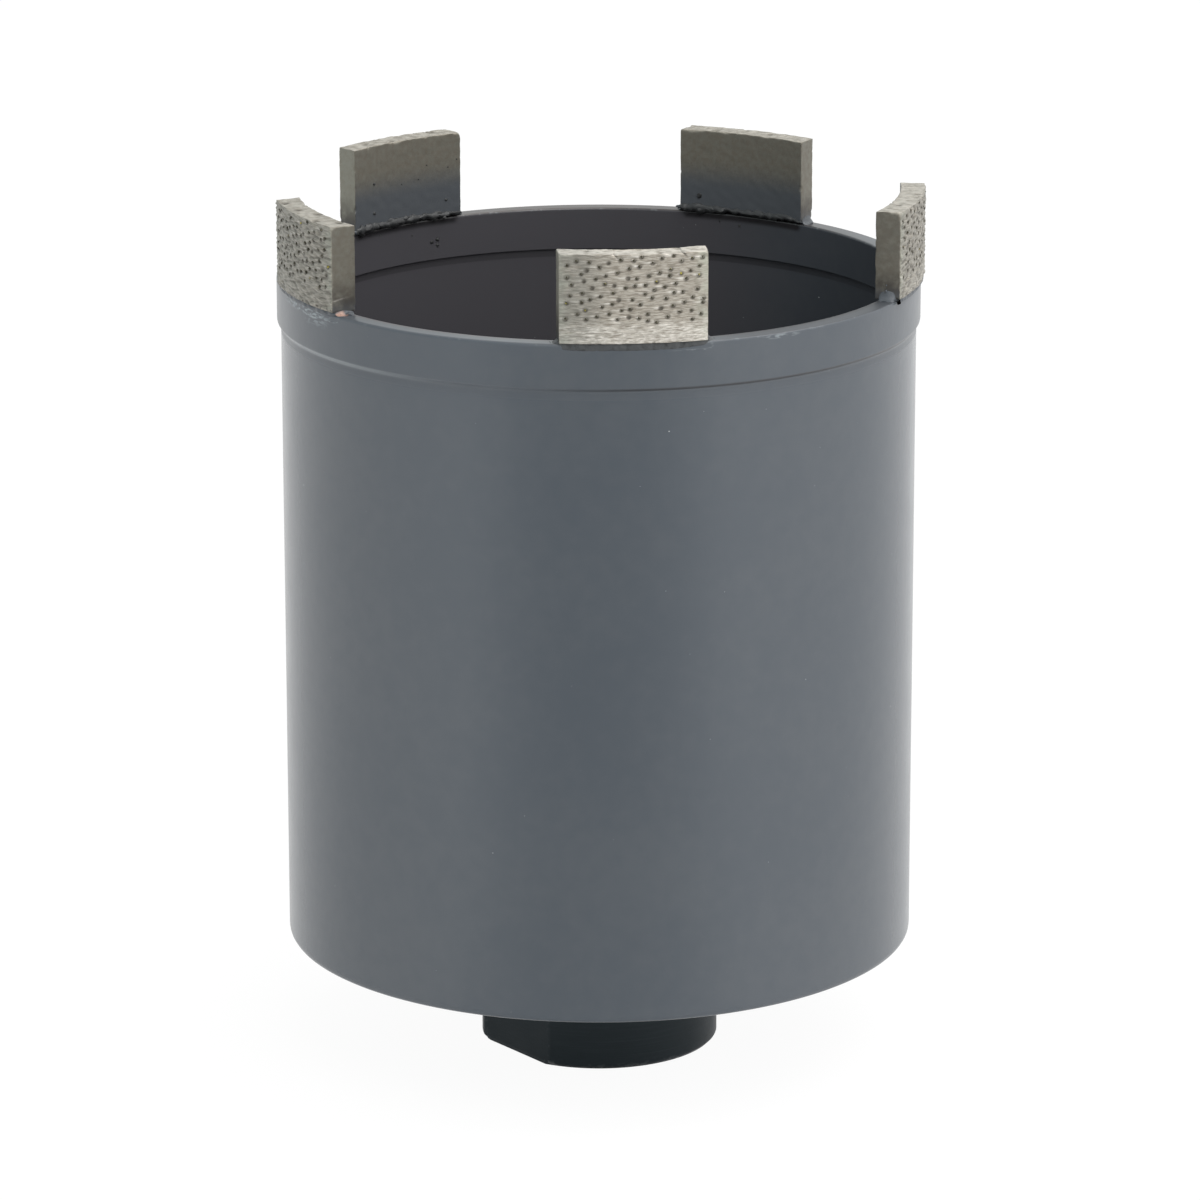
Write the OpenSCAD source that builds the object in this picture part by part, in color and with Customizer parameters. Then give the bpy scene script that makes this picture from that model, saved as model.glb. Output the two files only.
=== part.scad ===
// Diamond core bit: a thin steel barrel with a threaded hub at its closed end
// and separate diamond segments welded round its open rim.
//
// Millimetres, +Z up. The bit stands on its hub with the segments uppermost.
// The origin is the centre of the hub's end face, and the axis of turning is Z.
// The front is -Y, and angles run from the front towards +X.

/* [Tube] */
// Outside diameter of the tube
tube_d = 80; // [60:1:120]
// Thickness of the tube's wall
tube_wall = 1.5; // [1:0.1:3]
// Height of the barrel, from the tube's closed end to the rim under the segments
barrel_h = 86; // [50:1:150]
// Width of the bevels that break the barrel's sharp edges
edge_break = 0.2; // [0.1:0.05:0.3]

/* [Carrier ring] */
// Height of the ring, with the neck that meets the tube
ring_h = 7; // [6.8:0.1:12]
// Height of the ring's outer band, above its taper
ring_band_h = 5.5; // [3:0.1:6]
// Height of the short taper between the outer band and the neck
ring_taper_h = 0.5; // [0.2:0.1:0.7]
// Height of the ring's inner band
ring_bore_h = 5.5; // [3:0.1:6]
// How far the ring stands out past the tube
ring_outer_step = 0.5; // [0.2:0.1:1]
// How far the ring stands in past the tube's bore
ring_inner_step = 0.4; // [0.2:0.1:1]

/* [Segments] */
// How many segments the rim carries
segment_count = 5; // [3:1:7]
// Where the first segment stands, in degrees from the front towards the right
first_segment_angle = 6; // [0:1:71]
// Length of a segment between its parallel ends
segment_l = 18; // [10:0.5:24]
// Height of a new segment
segment_h = 10.8; // [8:0.1:15]
// How far a segment stands out past the ring, to cut room for the barrel
segment_outer_step = 0.5; // [0.2:0.1:1.5]
// How far a segment stands in past the ring's bore
segment_inner_step = 0.3; // [0.1:0.1:1.5]
// How much each tip has worn down, from the first segment round
segment_wear = [0.05, 0.05, 0.3, 0.1, 0.2];
// How far each segment was welded from its even place, in degrees
segment_drift = [0, -0.2, -0.2, 0.2, 0.6];

/* [Segment welds] */
// Thickness of the weld between the rim and a segment's foot
weld_t = 0.4; // [0.2:0.1:0.8]
// How far the weld runs out along the rim past a segment's end
weld_toe = 0.9; // [0.4:0.1:1.2]
// How high the weld climbs up a segment's end
weld_climb = 1.5; // [0.9:0.1:3]

/* [Closed end] */
// Thickness of the base plate
plate_t = 4; // [2.5:0.5:8]
// How deep the plate sits inside the tube's end
plate_recess = 1.2; // [1:0.1:4]
// Leg of the weld that joins the plate to the tube
plate_weld_leg = 1; // [0.5:0.1:1]
// Leg of the weld that joins the hub to the plate
hub_weld_leg = 1.5; // [0.8:0.1:3]
// Gap all round where the plate enters the tube and the hub enters the plate
slip_gap = 0.05; // [0.02:0.01:0.15]

/* [Hub] */
// Diameter of the hub
hub_d = 30.4; // [28:0.2:44]
// How far the hub stands out past the tube's end
hub_h = 15; // [12:0.5:30]
// Width of the bevel round the hub's end face
hub_bevel = 0.5; // [0.3:0.1:1.5]
// Diameter of the hub's spigot, which passes through the plate
spigot_d = 22; // [20:0.5:26]
// Diameter of the thread's tapping hole, for an M16 arbor
thread_bore_d = 14; // [8:0.5:17]
// Depth of the countersink at the thread's mouth
thread_lead = 1; // [0.5:0.1:1.4]
// Size across the two wrench flats
flats_across = 27; // [23:0.5:27.5]
// How far up the hub the wrench flats run
flats_h = 10; // [6:0.5:11.5]
// Where the first wrench flat faces, in degrees from the front towards the right
flats_angle = -52; // [-90:1:90]

/* [Hidden] */
$fn = 144;

// Radii from the tube outwards and inwards
tube_r = tube_d / 2;
tube_bore_r = tube_r - tube_wall;
ring_r = tube_r + ring_outer_step;
ring_bore_r = tube_bore_r - ring_inner_step;
segment_r = ring_r + segment_outer_step;
segment_bore_r = ring_bore_r - segment_inner_step;
hub_r = hub_d / 2;
spigot_r = spigot_d / 2;
thread_bore_r = thread_bore_d / 2;

// Heights above the hub's end face
tube_end_z = hub_h;
plate_z = tube_end_z + plate_recess;
plate_top_z = plate_z + plate_t;
rim_z = tube_end_z + barrel_h;
ring_z = rim_z - ring_h;
band_z = rim_z - ring_band_h;
foot_z = rim_z + weld_t;

// How far a cutting solid runs past the face that it cuts
overrun = 1;
// How many straight steps follow the hollow of a fillet
fillet_steps = 6;

paint = [0.30, 0.33, 0.37];
bare_steel = [0.16, 0.20, 0.21];
sintered_metal = [0.72, 0.70, 0.66];
painted_weld = [0.24, 0.26, 0.29];

// The value for segment k of a list that starts again when it runs out
function of_segment(list, k) = list[(k - 1) % len(list)];

// Height of segment k above the weld, as worn
function worn_h(k) = segment_h - of_segment(segment_wear, k);

// The hollow of a fillet: a quarter ellipse from the end of the leg along x
// to the end of the leg along y
function hollow(corner, leg_x, leg_y) = [
    for (step = [0 : fillet_steps])
        let (turn = 90 * step / fillet_steps)
        corner + [leg_x * (1 - sin(turn)), leg_y * (1 - cos(turn))]
];

// Outline of a fillet: the corner that it fills, then its hollow
function fillet(corner, leg_x, leg_y) = concat([corner], hollow(corner, leg_x, leg_y));

// Turns what is built at the front to the place of segment k
module at_segment(k) {
    rotate(first_segment_angle + 360 * (k - 1) / segment_count + of_segment(segment_drift, k))
        children();
}

// A plain upright ring
module ring_wall(outer_r, inner_r, low_z, high_z) {
    translate([0, 0, low_z])
        difference() {
            cylinder(r = outer_r, h = high_z - low_z);
            translate([0, 0, -overrun])
                cylinder(r = inner_r, h = high_z - low_z + 2 * overrun);
        }
}

// Rolled tube, from the closed end up to the ring's neck
module barrel_tube() {
    color(paint)
        rotate_extrude()
            polygon([
                [tube_bore_r, tube_end_z],
                [tube_r - edge_break, tube_end_z],
                [tube_r, tube_end_z + edge_break],
                [tube_r, ring_z],
                [tube_bore_r, ring_z]
            ]);
}

// Turned ring that carries the segments: thicker than the tube on both sides,
// with a taper outside and a step inside down to a neck of the tube's own wall
module collar_ring() {
    color(paint)
        rotate_extrude()
            polygon([
                [ring_bore_r, rim_z - edge_break],
                [ring_bore_r + edge_break, rim_z],
                [ring_r - edge_break, rim_z],
                [ring_r, rim_z - edge_break],
                [ring_r, band_z],
                [tube_r, band_z - ring_taper_h],
                [tube_r, ring_z],
                [tube_bore_r, ring_z],
                [tube_bore_r, rim_z - ring_bore_h],
                [ring_bore_r, rim_z - ring_bore_h]
            ]);
}

// Disc that closes the tube, with a hole for the hub's spigot
module base_plate() {
    color(paint)
        ring_wall(tube_bore_r - slip_gap, spigot_r + slip_gap, plate_z, plate_top_z);
}

// One wrench flat's waste, facing the front
module flat_waste() {
    translate([-hub_r, -hub_r - overrun, -overrun])
        cube([2 * hub_r, hub_r + overrun - flats_across / 2, flats_h + overrun]);
}

// Turned hub: a boss with two wrench flats, a shoulder against the plate,
// a spigot through it and a threaded hole all the way
module threaded_hub() {
    color(bare_steel)
        difference() {
            rotate_extrude()
                polygon([
                    [0, 0],
                    [hub_r - hub_bevel, 0],
                    [hub_r, hub_bevel],
                    [hub_r, plate_z],
                    [spigot_r, plate_z],
                    [spigot_r, plate_top_z],
                    [0, plate_top_z]
                ]);
            translate([0, 0, -overrun])
                cylinder(r = thread_bore_r, h = plate_top_z + 2 * overrun);
            cylinder(r1 = thread_bore_r + thread_lead, r2 = thread_bore_r, h = thread_lead);
            for (turn = [0, 180])
                rotate(flats_angle + turn)
                    flat_waste();
        }
}

// Fillet weld in the corner between the plate and the tube's end
module plate_weld() {
    color(paint)
        rotate_extrude()
            polygon(fillet([tube_bore_r, plate_z], -plate_weld_leg, -plate_weld_leg));
}

// Fillet weld in the corner between the plate and the hub
module hub_weld() {
    color(painted_weld)
        rotate_extrude()
            polygon(fillet([hub_r, plate_z], hub_weld_leg, -hub_weld_leg));
}

// Pressed and sintered block of metal and diamond: a piece of a ring
// between two parallel ends
module segment(k) {
    color(sintered_metal)
        at_segment(k)
            intersection() {
                ring_wall(segment_r, segment_bore_r, foot_z, foot_z + worn_h(k));
                translate([-segment_l / 2, -segment_r - overrun, foot_z - overrun])
                    cube([segment_l, segment_r + overrun, segment_h + 2 * overrun]);
            }
}

// Side view of the weld under a segment: a thin pad with a fillet up each end
module segment_weld_profile() {
    end_x = segment_l / 2;
    right = hollow([end_x, rim_z], weld_toe, weld_climb);
    left = hollow([-end_x, rim_z], -weld_toe, weld_climb);
    polygon(concat(
        right,
        [[end_x, foot_z], [-end_x, foot_z]],
        [for (step = [fillet_steps : -1 : 0]) left[step]]
    ));
}

// Weld metal under segment k, as wide as the flat of the rim
module segment_weld(k) {
    color(painted_weld)
        at_segment(k)
            intersection() {
                ring_wall(ring_r - edge_break, ring_bore_r + edge_break, rim_z, rim_z + weld_climb);
                rotate([90, 0, 0])
                    linear_extrude(height = segment_r)
                        segment_weld_profile();
            }
}

barrel_tube();
collar_ring();
base_plate();
threaded_hub();
plate_weld();
hub_weld();
for (k = [1 : segment_count]) {
    segment(k);
    segment_weld(k);
}
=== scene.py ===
# %% [markdown]
# # A diamond core bit, from its solids to its looks
# A core bit cuts a ring-shaped groove in masonry. It is a thin steel barrel with a
# threaded hub at its closed end and short blocks of metal and diamond, the segments,
# welded round its open rim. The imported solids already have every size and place, so
# this lesson only gives them the surfaces that a maker's hands and machines leave.
# The frame comes first, because every other cell measures something on it.

# %% Load the frame
import math

import bmesh
import bpy
import numpy as np
from mathutils import Matrix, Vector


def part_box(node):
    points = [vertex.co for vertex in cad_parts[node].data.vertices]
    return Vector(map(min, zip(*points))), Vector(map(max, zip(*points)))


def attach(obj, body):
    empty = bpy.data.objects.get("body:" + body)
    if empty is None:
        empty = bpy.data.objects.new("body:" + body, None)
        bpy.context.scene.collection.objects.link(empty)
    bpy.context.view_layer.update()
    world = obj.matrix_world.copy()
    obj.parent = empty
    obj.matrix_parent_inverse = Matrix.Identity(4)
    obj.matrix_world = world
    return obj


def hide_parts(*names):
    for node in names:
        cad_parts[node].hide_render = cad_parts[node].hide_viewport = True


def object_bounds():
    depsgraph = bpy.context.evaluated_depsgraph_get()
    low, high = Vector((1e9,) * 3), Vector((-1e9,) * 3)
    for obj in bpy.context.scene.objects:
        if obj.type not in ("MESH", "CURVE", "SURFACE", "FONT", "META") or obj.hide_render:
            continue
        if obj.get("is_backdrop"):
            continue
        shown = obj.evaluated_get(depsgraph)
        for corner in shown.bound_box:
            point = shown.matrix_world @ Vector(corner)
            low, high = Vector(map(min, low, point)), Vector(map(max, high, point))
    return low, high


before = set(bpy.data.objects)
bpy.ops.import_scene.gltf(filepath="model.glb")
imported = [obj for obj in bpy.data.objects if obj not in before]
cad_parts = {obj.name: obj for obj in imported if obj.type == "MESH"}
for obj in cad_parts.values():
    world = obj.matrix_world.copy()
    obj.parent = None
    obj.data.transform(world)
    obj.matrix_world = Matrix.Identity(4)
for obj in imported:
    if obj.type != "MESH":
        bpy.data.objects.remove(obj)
cad_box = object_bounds()
print("solids loaded:", len(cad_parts))

# %% [markdown]
# The solids are in metres. A maker of such a tool thinks in millimetres, so the shapes
# below are worked out in millimetres, and one factor turns them into metres at the end.
# The outer sizes are read from the solids' boxes. The inner ones, which no box shows,
# are named here: wall thicknesses, steps and the size of the thread.

# %% Measure the solids
MM = 0.001


def box_mm(node):
    """The lowest and the highest corner of a solid, in millimetres."""
    low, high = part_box(node)
    return np.array(low) / MM, np.array(high) / MM


hub_r = box_mm("threaded_hub")[1][0]
plate_z, plate_top_z = (corner[2] for corner in box_mm("base_plate"))
tube_end_z, ring_z = (corner[2] for corner in box_mm("barrel_tube"))
ring_r, rim_z = box_mm("collar_ring")[1][[0, 2]]
tube_r = box_mm("barrel_tube")[1][0]
foot_z = box_mm("segment_1")[0][2]

TUBE_WALL = 1.5
RING_WALL = 2.4
SEGMENT_WALL = 3.2
SEGMENT_STEP = 0.5
SEGMENT_LENGTH = 18.0
tube_bore_r = tube_r - TUBE_WALL
ring_bore_r = ring_r - RING_WALL
segment_r = ring_r + SEGMENT_STEP
print(f"tube {2 * tube_r:.1f} mm, ring {2 * ring_r:.1f} mm, rim at {rim_z:.1f} mm")

# %% [markdown]
# The camera stands where the photographer stood. A long lens well above the rim gives
# the flat ellipses of the photograph. The place and the angles come from fitting the
# outline of the tool: 0.77 m away, looking down by less than 16 degrees. The tiny yaw
# and roll only centre the picture as the photographer did.

# %% Camera
CAMERA_BACK = 767.2
CAMERA_ABOVE_RIM = 171.6
CAMERA_LENS = 187.4
CAMERA_DOWN = math.radians(15.622)
CAMERA_YAW = math.radians(0.0094)
CAMERA_ROLL = math.radians(-0.058)

camera = bpy.data.objects.new("camera", bpy.data.cameras.new("camera"))
bpy.context.scene.collection.objects.link(camera)
bpy.context.scene.camera = camera
camera.data.lens = CAMERA_LENS
camera.data.sensor_width = 36.0
camera.matrix_world = (
    Matrix.Translation((0, -CAMERA_BACK * MM, (rim_z + CAMERA_ABOVE_RIM) * MM))
    @ Matrix.Rotation(-CAMERA_YAW, 4, "Z")
    @ Matrix.Rotation(math.pi / 2 - CAMERA_DOWN, 4, "X")
    @ Matrix.Rotation(CAMERA_ROLL, 4, "Z")
)

# %% [markdown]
# ## Shader maths as plain Python
# A finish is a network of nodes. Written node by node it is long and hard to read, so
# two small classes carry it. `Signal` wraps one output socket, and Python's own signs
# work on it. `Nodes` adds any node with one method: the node's type, its settings,
# which are set first, and then the values or links of its sockets.

# %% Signals and nodes
class Signal:
    """One output of a node. Adding, subtracting or multiplying makes a Math node."""

    def __init__(self, nodes, socket):
        self.nodes = nodes
        self.socket = socket

    def maths(self, operation, *terms):
        settings = {"operation": operation}
        return self.nodes.add("ShaderNodeMath", settings, dict(enumerate(terms)))

    def __add__(self, other):
        return self.maths("ADD", self, other)

    def __radd__(self, other):
        return self.maths("ADD", other, self)

    def __sub__(self, other):
        return self.maths("SUBTRACT", self, other)

    def __rsub__(self, other):
        return self.maths("SUBTRACT", other, self)

    def __mul__(self, other):
        return self.maths("MULTIPLY", self, other)

    def __rmul__(self, other):
        return self.maths("MULTIPLY", other, self)

    def larger(self, other):
        return self.maths("MAXIMUM", self, other)


class Nodes:
    """A node tree, and the one method that adds a node of any type to it."""

    def __init__(self, tree):
        self.tree = tree

    def add(self, kind, settings=None, inputs=None, output=0):
        node = self.tree.nodes.new(kind)
        for name, value in (settings or {}).items():
            setattr(node, name, value)
        for name, value in (inputs or {}).items():
            self.feed(node.inputs[name], value)
        return Signal(self, node.outputs[output])

    def feed(self, socket, value):
        """Links a signal to a socket, or sets the socket to a plain value."""
        if isinstance(value, Signal):
            self.tree.links.new(value.socket, socket)
        else:
            socket.default_value = value


# %% [markdown]
# Every finish below needs the same few ingredients: smooth noise of a size given in
# millimetres, scattered dots, a soft threshold, a mix of two colours, and bump. They
# read Object coordinates, which lie still on the tool. Colours are written as the
# values that a screen shows, from 0 to 255, because that is how a photograph is read.

# %% Ingredients of a finish
def tone(red, green, blue):
    """A screen colour as the linear colour that a shader works in."""
    screen = np.array([red, green, blue]) / 255
    linear = np.where(screen <= 0.04045, screen / 12.92, ((screen + 0.055) / 1.055) ** 2.4)
    return (*linear.tolist(), 1.0)


class Finish(Nodes):
    """A material on the Principled shader, with the ingredients as methods."""

    def __init__(self, name):
        self.material = bpy.data.materials.new(name)
        self.material.use_nodes = True
        super().__init__(self.material.node_tree)
        self.shader = self.tree.nodes["Principled BSDF"]
        self.place = self.add("ShaderNodeTexCoord", output="Object")

    def scaled(self, x, y, z):
        """Object coordinates in millimetres, each times a factor of its own."""
        inputs = {0: self.place, 1: (x / MM, y / MM, z / MM)}
        return self.add("ShaderNodeVectorMath", {"operation": "MULTIPLY"}, inputs)

    def noise(self, size, detail=2.0, stretch=(1, 1, 1)):
        """Smooth noise from 0 to 1, with features about size millimetres across."""
        vector = self.scaled(*stretch)
        inputs = {"Vector": vector, "Scale": 1 / size, "Detail": detail}
        return self.add("ShaderNodeTexNoise", None, inputs)

    def fade(self, signal, low, high):
        """0 below low and 1 above high, with a smooth rise between them."""
        inputs = {"Value": signal, "From Min": low, "From Max": high}
        return self.add("ShaderNodeMapRange", {"interpolation_type": "SMOOTHSTEP"}, inputs)

    def dots(self, spacing, radius):
        """1 in round dots of that radius, which lie about spacing apart in space."""
        inputs = {"Vector": self.scaled(1, 1, 1), "Scale": 1 / spacing}
        distance = self.add("ShaderNodeTexVoronoi", None, inputs, "Distance")
        return self.fade(distance, radius / spacing, 0.5 * radius / spacing)

    def painted(self, name):
        """The value that the mesh carries under that name, or 0 if it has none."""
        return self.add("ShaderNodeAttribute", {"attribute_name": name}, None, "Fac")

    def mix(self, under, over, share):
        """One colour laid over another, by a share from 0 to 1."""
        inputs = {0: share, 6: under, 7: over}
        return self.add("ShaderNodeMix", {"data_type": "RGBA"}, inputs, 2)

    def bump(self, height, depth, below=None):
        """A relief that is depth millimetres high where height is 1."""
        inputs = {"Height": height, "Distance": depth * MM}
        if below:
            inputs["Normal"] = below
        return self.add("ShaderNodeBump", None, inputs)

    def coat(self, **sockets):
        """Sets the shader's own sockets. A name's underscores stand for spaces."""
        for name, value in sockets.items():
            self.feed(self.shader.inputs[name.replace("_", " ")], value)
        return self.material


# %% [markdown]
# ## Satin paint
# The barrel, the ring and the base plate wear one thin coat of blue-grey satin paint,
# sprayed over turned steel. Close by, such a coat has a fine orange peel and faint
# rings of the turning under it, it is a little cloudy, and it holds dust. Noise of
# several sizes carries each of these. The meshes mark the rest themselves. `inside`
# paints warm light on the bore, which fades out at its right, and `rim` makes the
# rim's top warmer and darker, most at the back. One mark paints shadow and shade: under
# the inner step, under the rear beads, on the right of the bore, in a line on the
# bevel and on the rim's right front. The coves under the segments are darker, partly
# as paint that a weld burnt and partly as painted shade under the feet. `edge` marks
# the corners, where the coat wears through. Scrapes of masonry or a file are rubbed
# bare, and the same mark paints a highlight on the cove's lip. The left of the bevel
# is painted lighter, as a painted highlight, and `matt` marks where the coat is rougher
# than elsewhere.

# %% Satin paint
PAINT = tone(73, 79, 86)
PAINT_CLOUD = tone(78, 83, 89)
# Painted warm light on the bore.
PAINT_INSIDE = tone(73, 72, 76)
# The rim's top, warmer and darker, most at the back.
PAINT_RIM = tone(60, 53, 52)
# Burnt paint in the coves, darkened further as painted shade under the segments' feet.
PAINT_BURNT = tone(54, 58, 59)
# Painted shadow and shade on the bore and the ring.
GRIME = tone(38, 37, 39)
DUST = tone(176, 178, 180)
# Bare steel where scraped and worn, also used for painted highlights on the cove's lip and the bevel.
RUBBED = tone(160, 168, 172)


def satin_paint():
    """Paint: cloudy colour, orange peel, turned rings, dust, and the marked places."""
    paint = Finish("satin_paint")
    cloud = 0.6 * paint.noise(22, 3.0) + 0.4 * paint.noise(2.2)
    colour = paint.mix(PAINT, PAINT_CLOUD, paint.fade(cloud, 0.35, 0.7))
    # painted warm light on the bore
    colour = paint.mix(colour, PAINT_INSIDE, paint.painted("inside"))
    colour = paint.mix(colour, PAINT_RIM, paint.painted("rim"))
    # painted shadow and shade
    colour = paint.mix(colour, GRIME, paint.painted("grime"))
    streaks = paint.noise(0.5, 3.0, (0.5, 0.5, 1.6))
    bare = paint.fade(streaks, 0.44, 0.6) * paint.painted("scuff")
    thin = paint.fade(paint.noise(0.9, 3.0), 0.55, 0.75) * paint.painted("edge")
    # burnt paint and painted shade in the coves
    burnt = paint.painted("heat") * paint.fade(paint.noise(0.9, 3.0), 0.05, 0.5)
    colour = paint.mix(colour, PAINT_BURNT, burnt)
    # scrapes and worn corners, and a painted highlight on the cove's lip
    colour = paint.mix(colour, RUBBED, bare.larger(thin * 0.4) * 0.8)
    # painted highlight on the left of the bevel
    colour = paint.mix(colour, RUBBED, paint.painted("pale"))
    specks = paint.dots(6.5, 0.1).larger(paint.dots(2.6, 0.05))
    colour = paint.mix(colour, DUST, specks * 0.9)
    rings = paint.noise(0.35, 2.0, (0.03, 0.03, 1))
    relief = paint.bump(rings, 0.004)
    relief = paint.bump(paint.noise(0.9), 0.012, relief)
    relief = paint.bump(specks.larger(bare), 0.03, relief)
    rough = 0.19 + 0.08 * paint.noise(5, 4.0) + 0.2 * bare + 0.3 * paint.painted("matt")
    return paint.coat(Base_Color=colour, Roughness=rough, Normal=relief, IOR=1.54)


PAINT_FINISH = satin_paint()

# %% [markdown]
# ## Black hub steel
# The hub is turned from bar and dipped in black oxide, which darkens steel without
# hiding the tool marks. The tool leaves rings: level lines on the side and circles on
# the end face. One noise does for both when it is read by the height and by the
# distance from the axis, because each face keeps one of the two constant. The mesh
# marks the two milled flats, which are painted darker and bluer, as their shade and
# reflection, and the corner round the end face.

# %% Black oxide
OXIDE = tone(47, 54, 58)
OXIDE_WORN = tone(58, 65, 69)
# Painted shade and bluish reflection for the milled flats.
OXIDE_MILLED = tone(33, 43, 48)
BARE_NICK = tone(165, 168, 168)


def turned_place(finish, across, round_axis):
    """Coordinates for turned marks: distance from the axis and height, times across,
    and a slow change round the axis, so that a ring isn't the same all the way."""
    inputs = {0: finish.place, 1: (1, 1, 0)}
    flat = finish.add("ShaderNodeVectorMath", {"operation": "MULTIPLY"}, inputs)
    radius = finish.add("ShaderNodeVectorMath", {"operation": "LENGTH"}, {0: flat}, "Value")
    split = finish.add("ShaderNodeSeparateXYZ", None, {0: finish.place}, "Z")
    side = finish.add("ShaderNodeSeparateXYZ", None, {0: finish.place}, "X")
    parts = {0: radius * (across / MM), 1: split * (across / MM), 2: side * (round_axis / MM)}
    return finish.add("ShaderNodeCombineXYZ", None, parts)


def black_oxide():
    """Hub: near-black steel with turned rings, flats painted darker as shade, and nicks on the
    corner.
    """
    steel = Finish("black_oxide")
    place = turned_place(steel, 4.5, 0.12)
    rings = steel.add("ShaderNodeTexNoise", None, {"Vector": place, "Scale": 1, "Detail": 3})
    colour = steel.mix(OXIDE, OXIDE_WORN, 0.35 * steel.fade(rings, 0.45, 0.75))
    # the flats painted darker and bluer, as their shade and reflection
    colour = steel.mix(colour, OXIDE_MILLED, steel.painted("milled"))
    rubbed = steel.painted("edge") * steel.fade(steel.noise(0.8, 3.0), 0.52, 0.62)
    colour = steel.mix(colour, BARE_NICK, rubbed * 0.5)
    colour = steel.mix(colour, DUST, steel.dots(4, 0.1) * 0.6)
    relief = steel.bump(rings, 0.02)
    relief = steel.bump(steel.noise(0.3, 3.0), 0.006, relief)
    rough = 0.36 + 0.16 * steel.noise(3, 3.0)
    return steel.coat(
        Base_Color=colour,
        Roughness=rough,
        Normal=relief,
        Metallic=rubbed * 0.8,
        Specular_IOR_Level=0.1,
    )


OXIDE_FINISH = black_oxide()

# %% [markdown]
# ## Sintered segments
# A segment is metal powder and diamond, pressed and sintered to a block. Its back and
# ends keep the dull brown-grey skin of the mould. Its outer face and its tip have been
# opened on a grinding stone: they are pale, streaked along the turn, and behind each
# diamond stands a bright ridge that the diamond has sheltered. The barrel's paint was
# sprayed with the segments in place, so it drifts up their feet. The mesh carries the
# places as `dressed`, `ridge`, `socket`, `spray`, `stain`, a mark of shade, `end` and
# `foot`. Some of them paint light and shade. `socket` paints the shade in the hollows
# round the diamonds, in the pits of lost ones, in cracks and in the scored streaks of
# the segments seen at a slant, and it also holds dark specks along the foot. The mark
# of shade darkens the segments seen at a slant and the left end of segment 1, and
# weakens their ridges. `ridge` also paints highlights on the tips, and `foot` paints a
# highlight along the foot, strongest on segment 1 and weaker to its left.

# %% Sintered metal
SKIN = tone(112, 110, 101)
SKIN_BROWN = tone(107, 102, 92)
DRESSED = tone(178, 172, 162)
DRESSED_DARK = tone(138, 131, 120)
DRESSED_GREEN = tone(176, 179, 165)
# Bright ridges behind the diamonds, and painted highlights on tips and feet.
RIDGE = tone(236, 232, 225)
# Painted shade in hollows, pits and cracks, and fine dark specks.
SOCKET = tone(58, 53, 45)
STAIN = tone(60, 56, 53)
# Painted shade for faces seen at a slant.
DULL = tone(112, 114, 109)
SPRAYED = tone(71, 75, 80)


def sintered_metal():
    """Segment: mould skin or ground face, with ridges, drifted paint, painted shade in the hollows
    and on faces seen at a slant, and painted highlights on the tips and feet.
    """
    metal = Finish("sintered_metal")
    dressed = metal.painted("dressed")
    mottle = metal.fade(metal.noise(0.6, 5.0), 0.3, 0.7)
    skin = metal.mix(SKIN, SKIN_BROWN, mottle)
    skin = metal.mix(skin, DRESSED_GREEN, metal.painted("end") * 0.3)
    grind = metal.noise(0.3, 3.0, (0.32, 0.32, 2.4))
    ground = metal.mix(DRESSED_DARK, DRESSED, metal.fade(grind, 0.34, 0.66))
    tinted = metal.painted("end") * metal.fade(metal.noise(1.4, 3.0), 0.3, 0.7)
    ground = metal.mix(ground, DRESSED_GREEN, tinted * 0.6)
    # painted shade on segments seen at a slant and on the left end of segment 1
    dull = metal.painted("dull") * metal.fade(metal.noise(0.8, 4.0, (0.6, 0.6, 1.5)), 0.15, 0.55)
    ground = metal.mix(ground, DULL, dull)
    grains = metal.noise(0.32, 3.0, (0.5, 0.5, 1.7))
    # painted highlight along the foot
    foot = metal.painted("foot") * (0.2 + 0.55 * metal.fade(grains, 0.4, 0.66))
    ridge = metal.painted("ridge").larger(foot)
    ground = metal.mix(ground, RIDGE, ridge * metal.fade(grind, 0.2, 0.55))
    # painted shade in the sockets, pits, cracks and streaks, and specks at the foot
    ground = metal.mix(ground, SOCKET, metal.painted("socket"))
    colour = metal.mix(skin, ground, dressed)
    speckle = metal.noise(0.16, 2.0)
    colour = metal.mix(colour, SOCKET, metal.fade(speckle, 0.6, 0.8) * 0.4)
    stain = metal.painted("stain") * metal.fade(metal.noise(1.2, 4.0), 0.1, 0.6)
    colour = metal.mix(colour, STAIN, stain)
    drift = metal.painted("spray") + 0.3 * (metal.noise(0.3, 4.0) - 0.5)
    spray = metal.fade(drift, 0.05, 0.95)
    colour = metal.mix(colour, SPRAYED, spray)
    relief = metal.bump(speckle, 0.008)
    relief = metal.bump(grind * dressed, 0.05, relief)
    bare = 1 - spray
    rough = 0.46 + 0.12 * metal.noise(0.6, 3.0) - 0.08 * ridge
    return metal.coat(
        Base_Color=colour,
        Roughness=rough,
        Metallic=bare * (0.35 + 0.05 * dressed),
        Normal=relief,
    )


SINTERED_FINISH = sintered_metal()

# %% [markdown]
# ## Weld metal and diamonds
# Each segment is welded to the rim with a narrow beam, which leaves a dark, glassy seam
# with lumps and soot, painted over where the spray reached. The mesh marks the soot,
# which also paints the shade under the segments' feet and on the weld metal inside,
# `clean` where paint covers the soot, `copper` at one bare place, and a pinhole, which
# is painted black as its shade. The diamonds are grown crystals, yellow-green and dark
# in their sockets. They are far too small to need real refraction: a dark body with a
# bright, sharp gloss looks the same from a step away.

# %% Weld metal and diamond
WELD_PAINT = tone(66, 68, 70)
# Soot, and painted shade under the feet and on the inner side.
SOOT = tone(26, 27, 28)
COPPER = tone(196, 156, 138)
# A pinhole, painted black as its shade.
PINHOLE_BLACK = tone(5, 5, 5)
CRYSTAL = tone(60, 57, 44)
CRYSTAL_YELLOW = tone(150, 140, 62)


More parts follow.
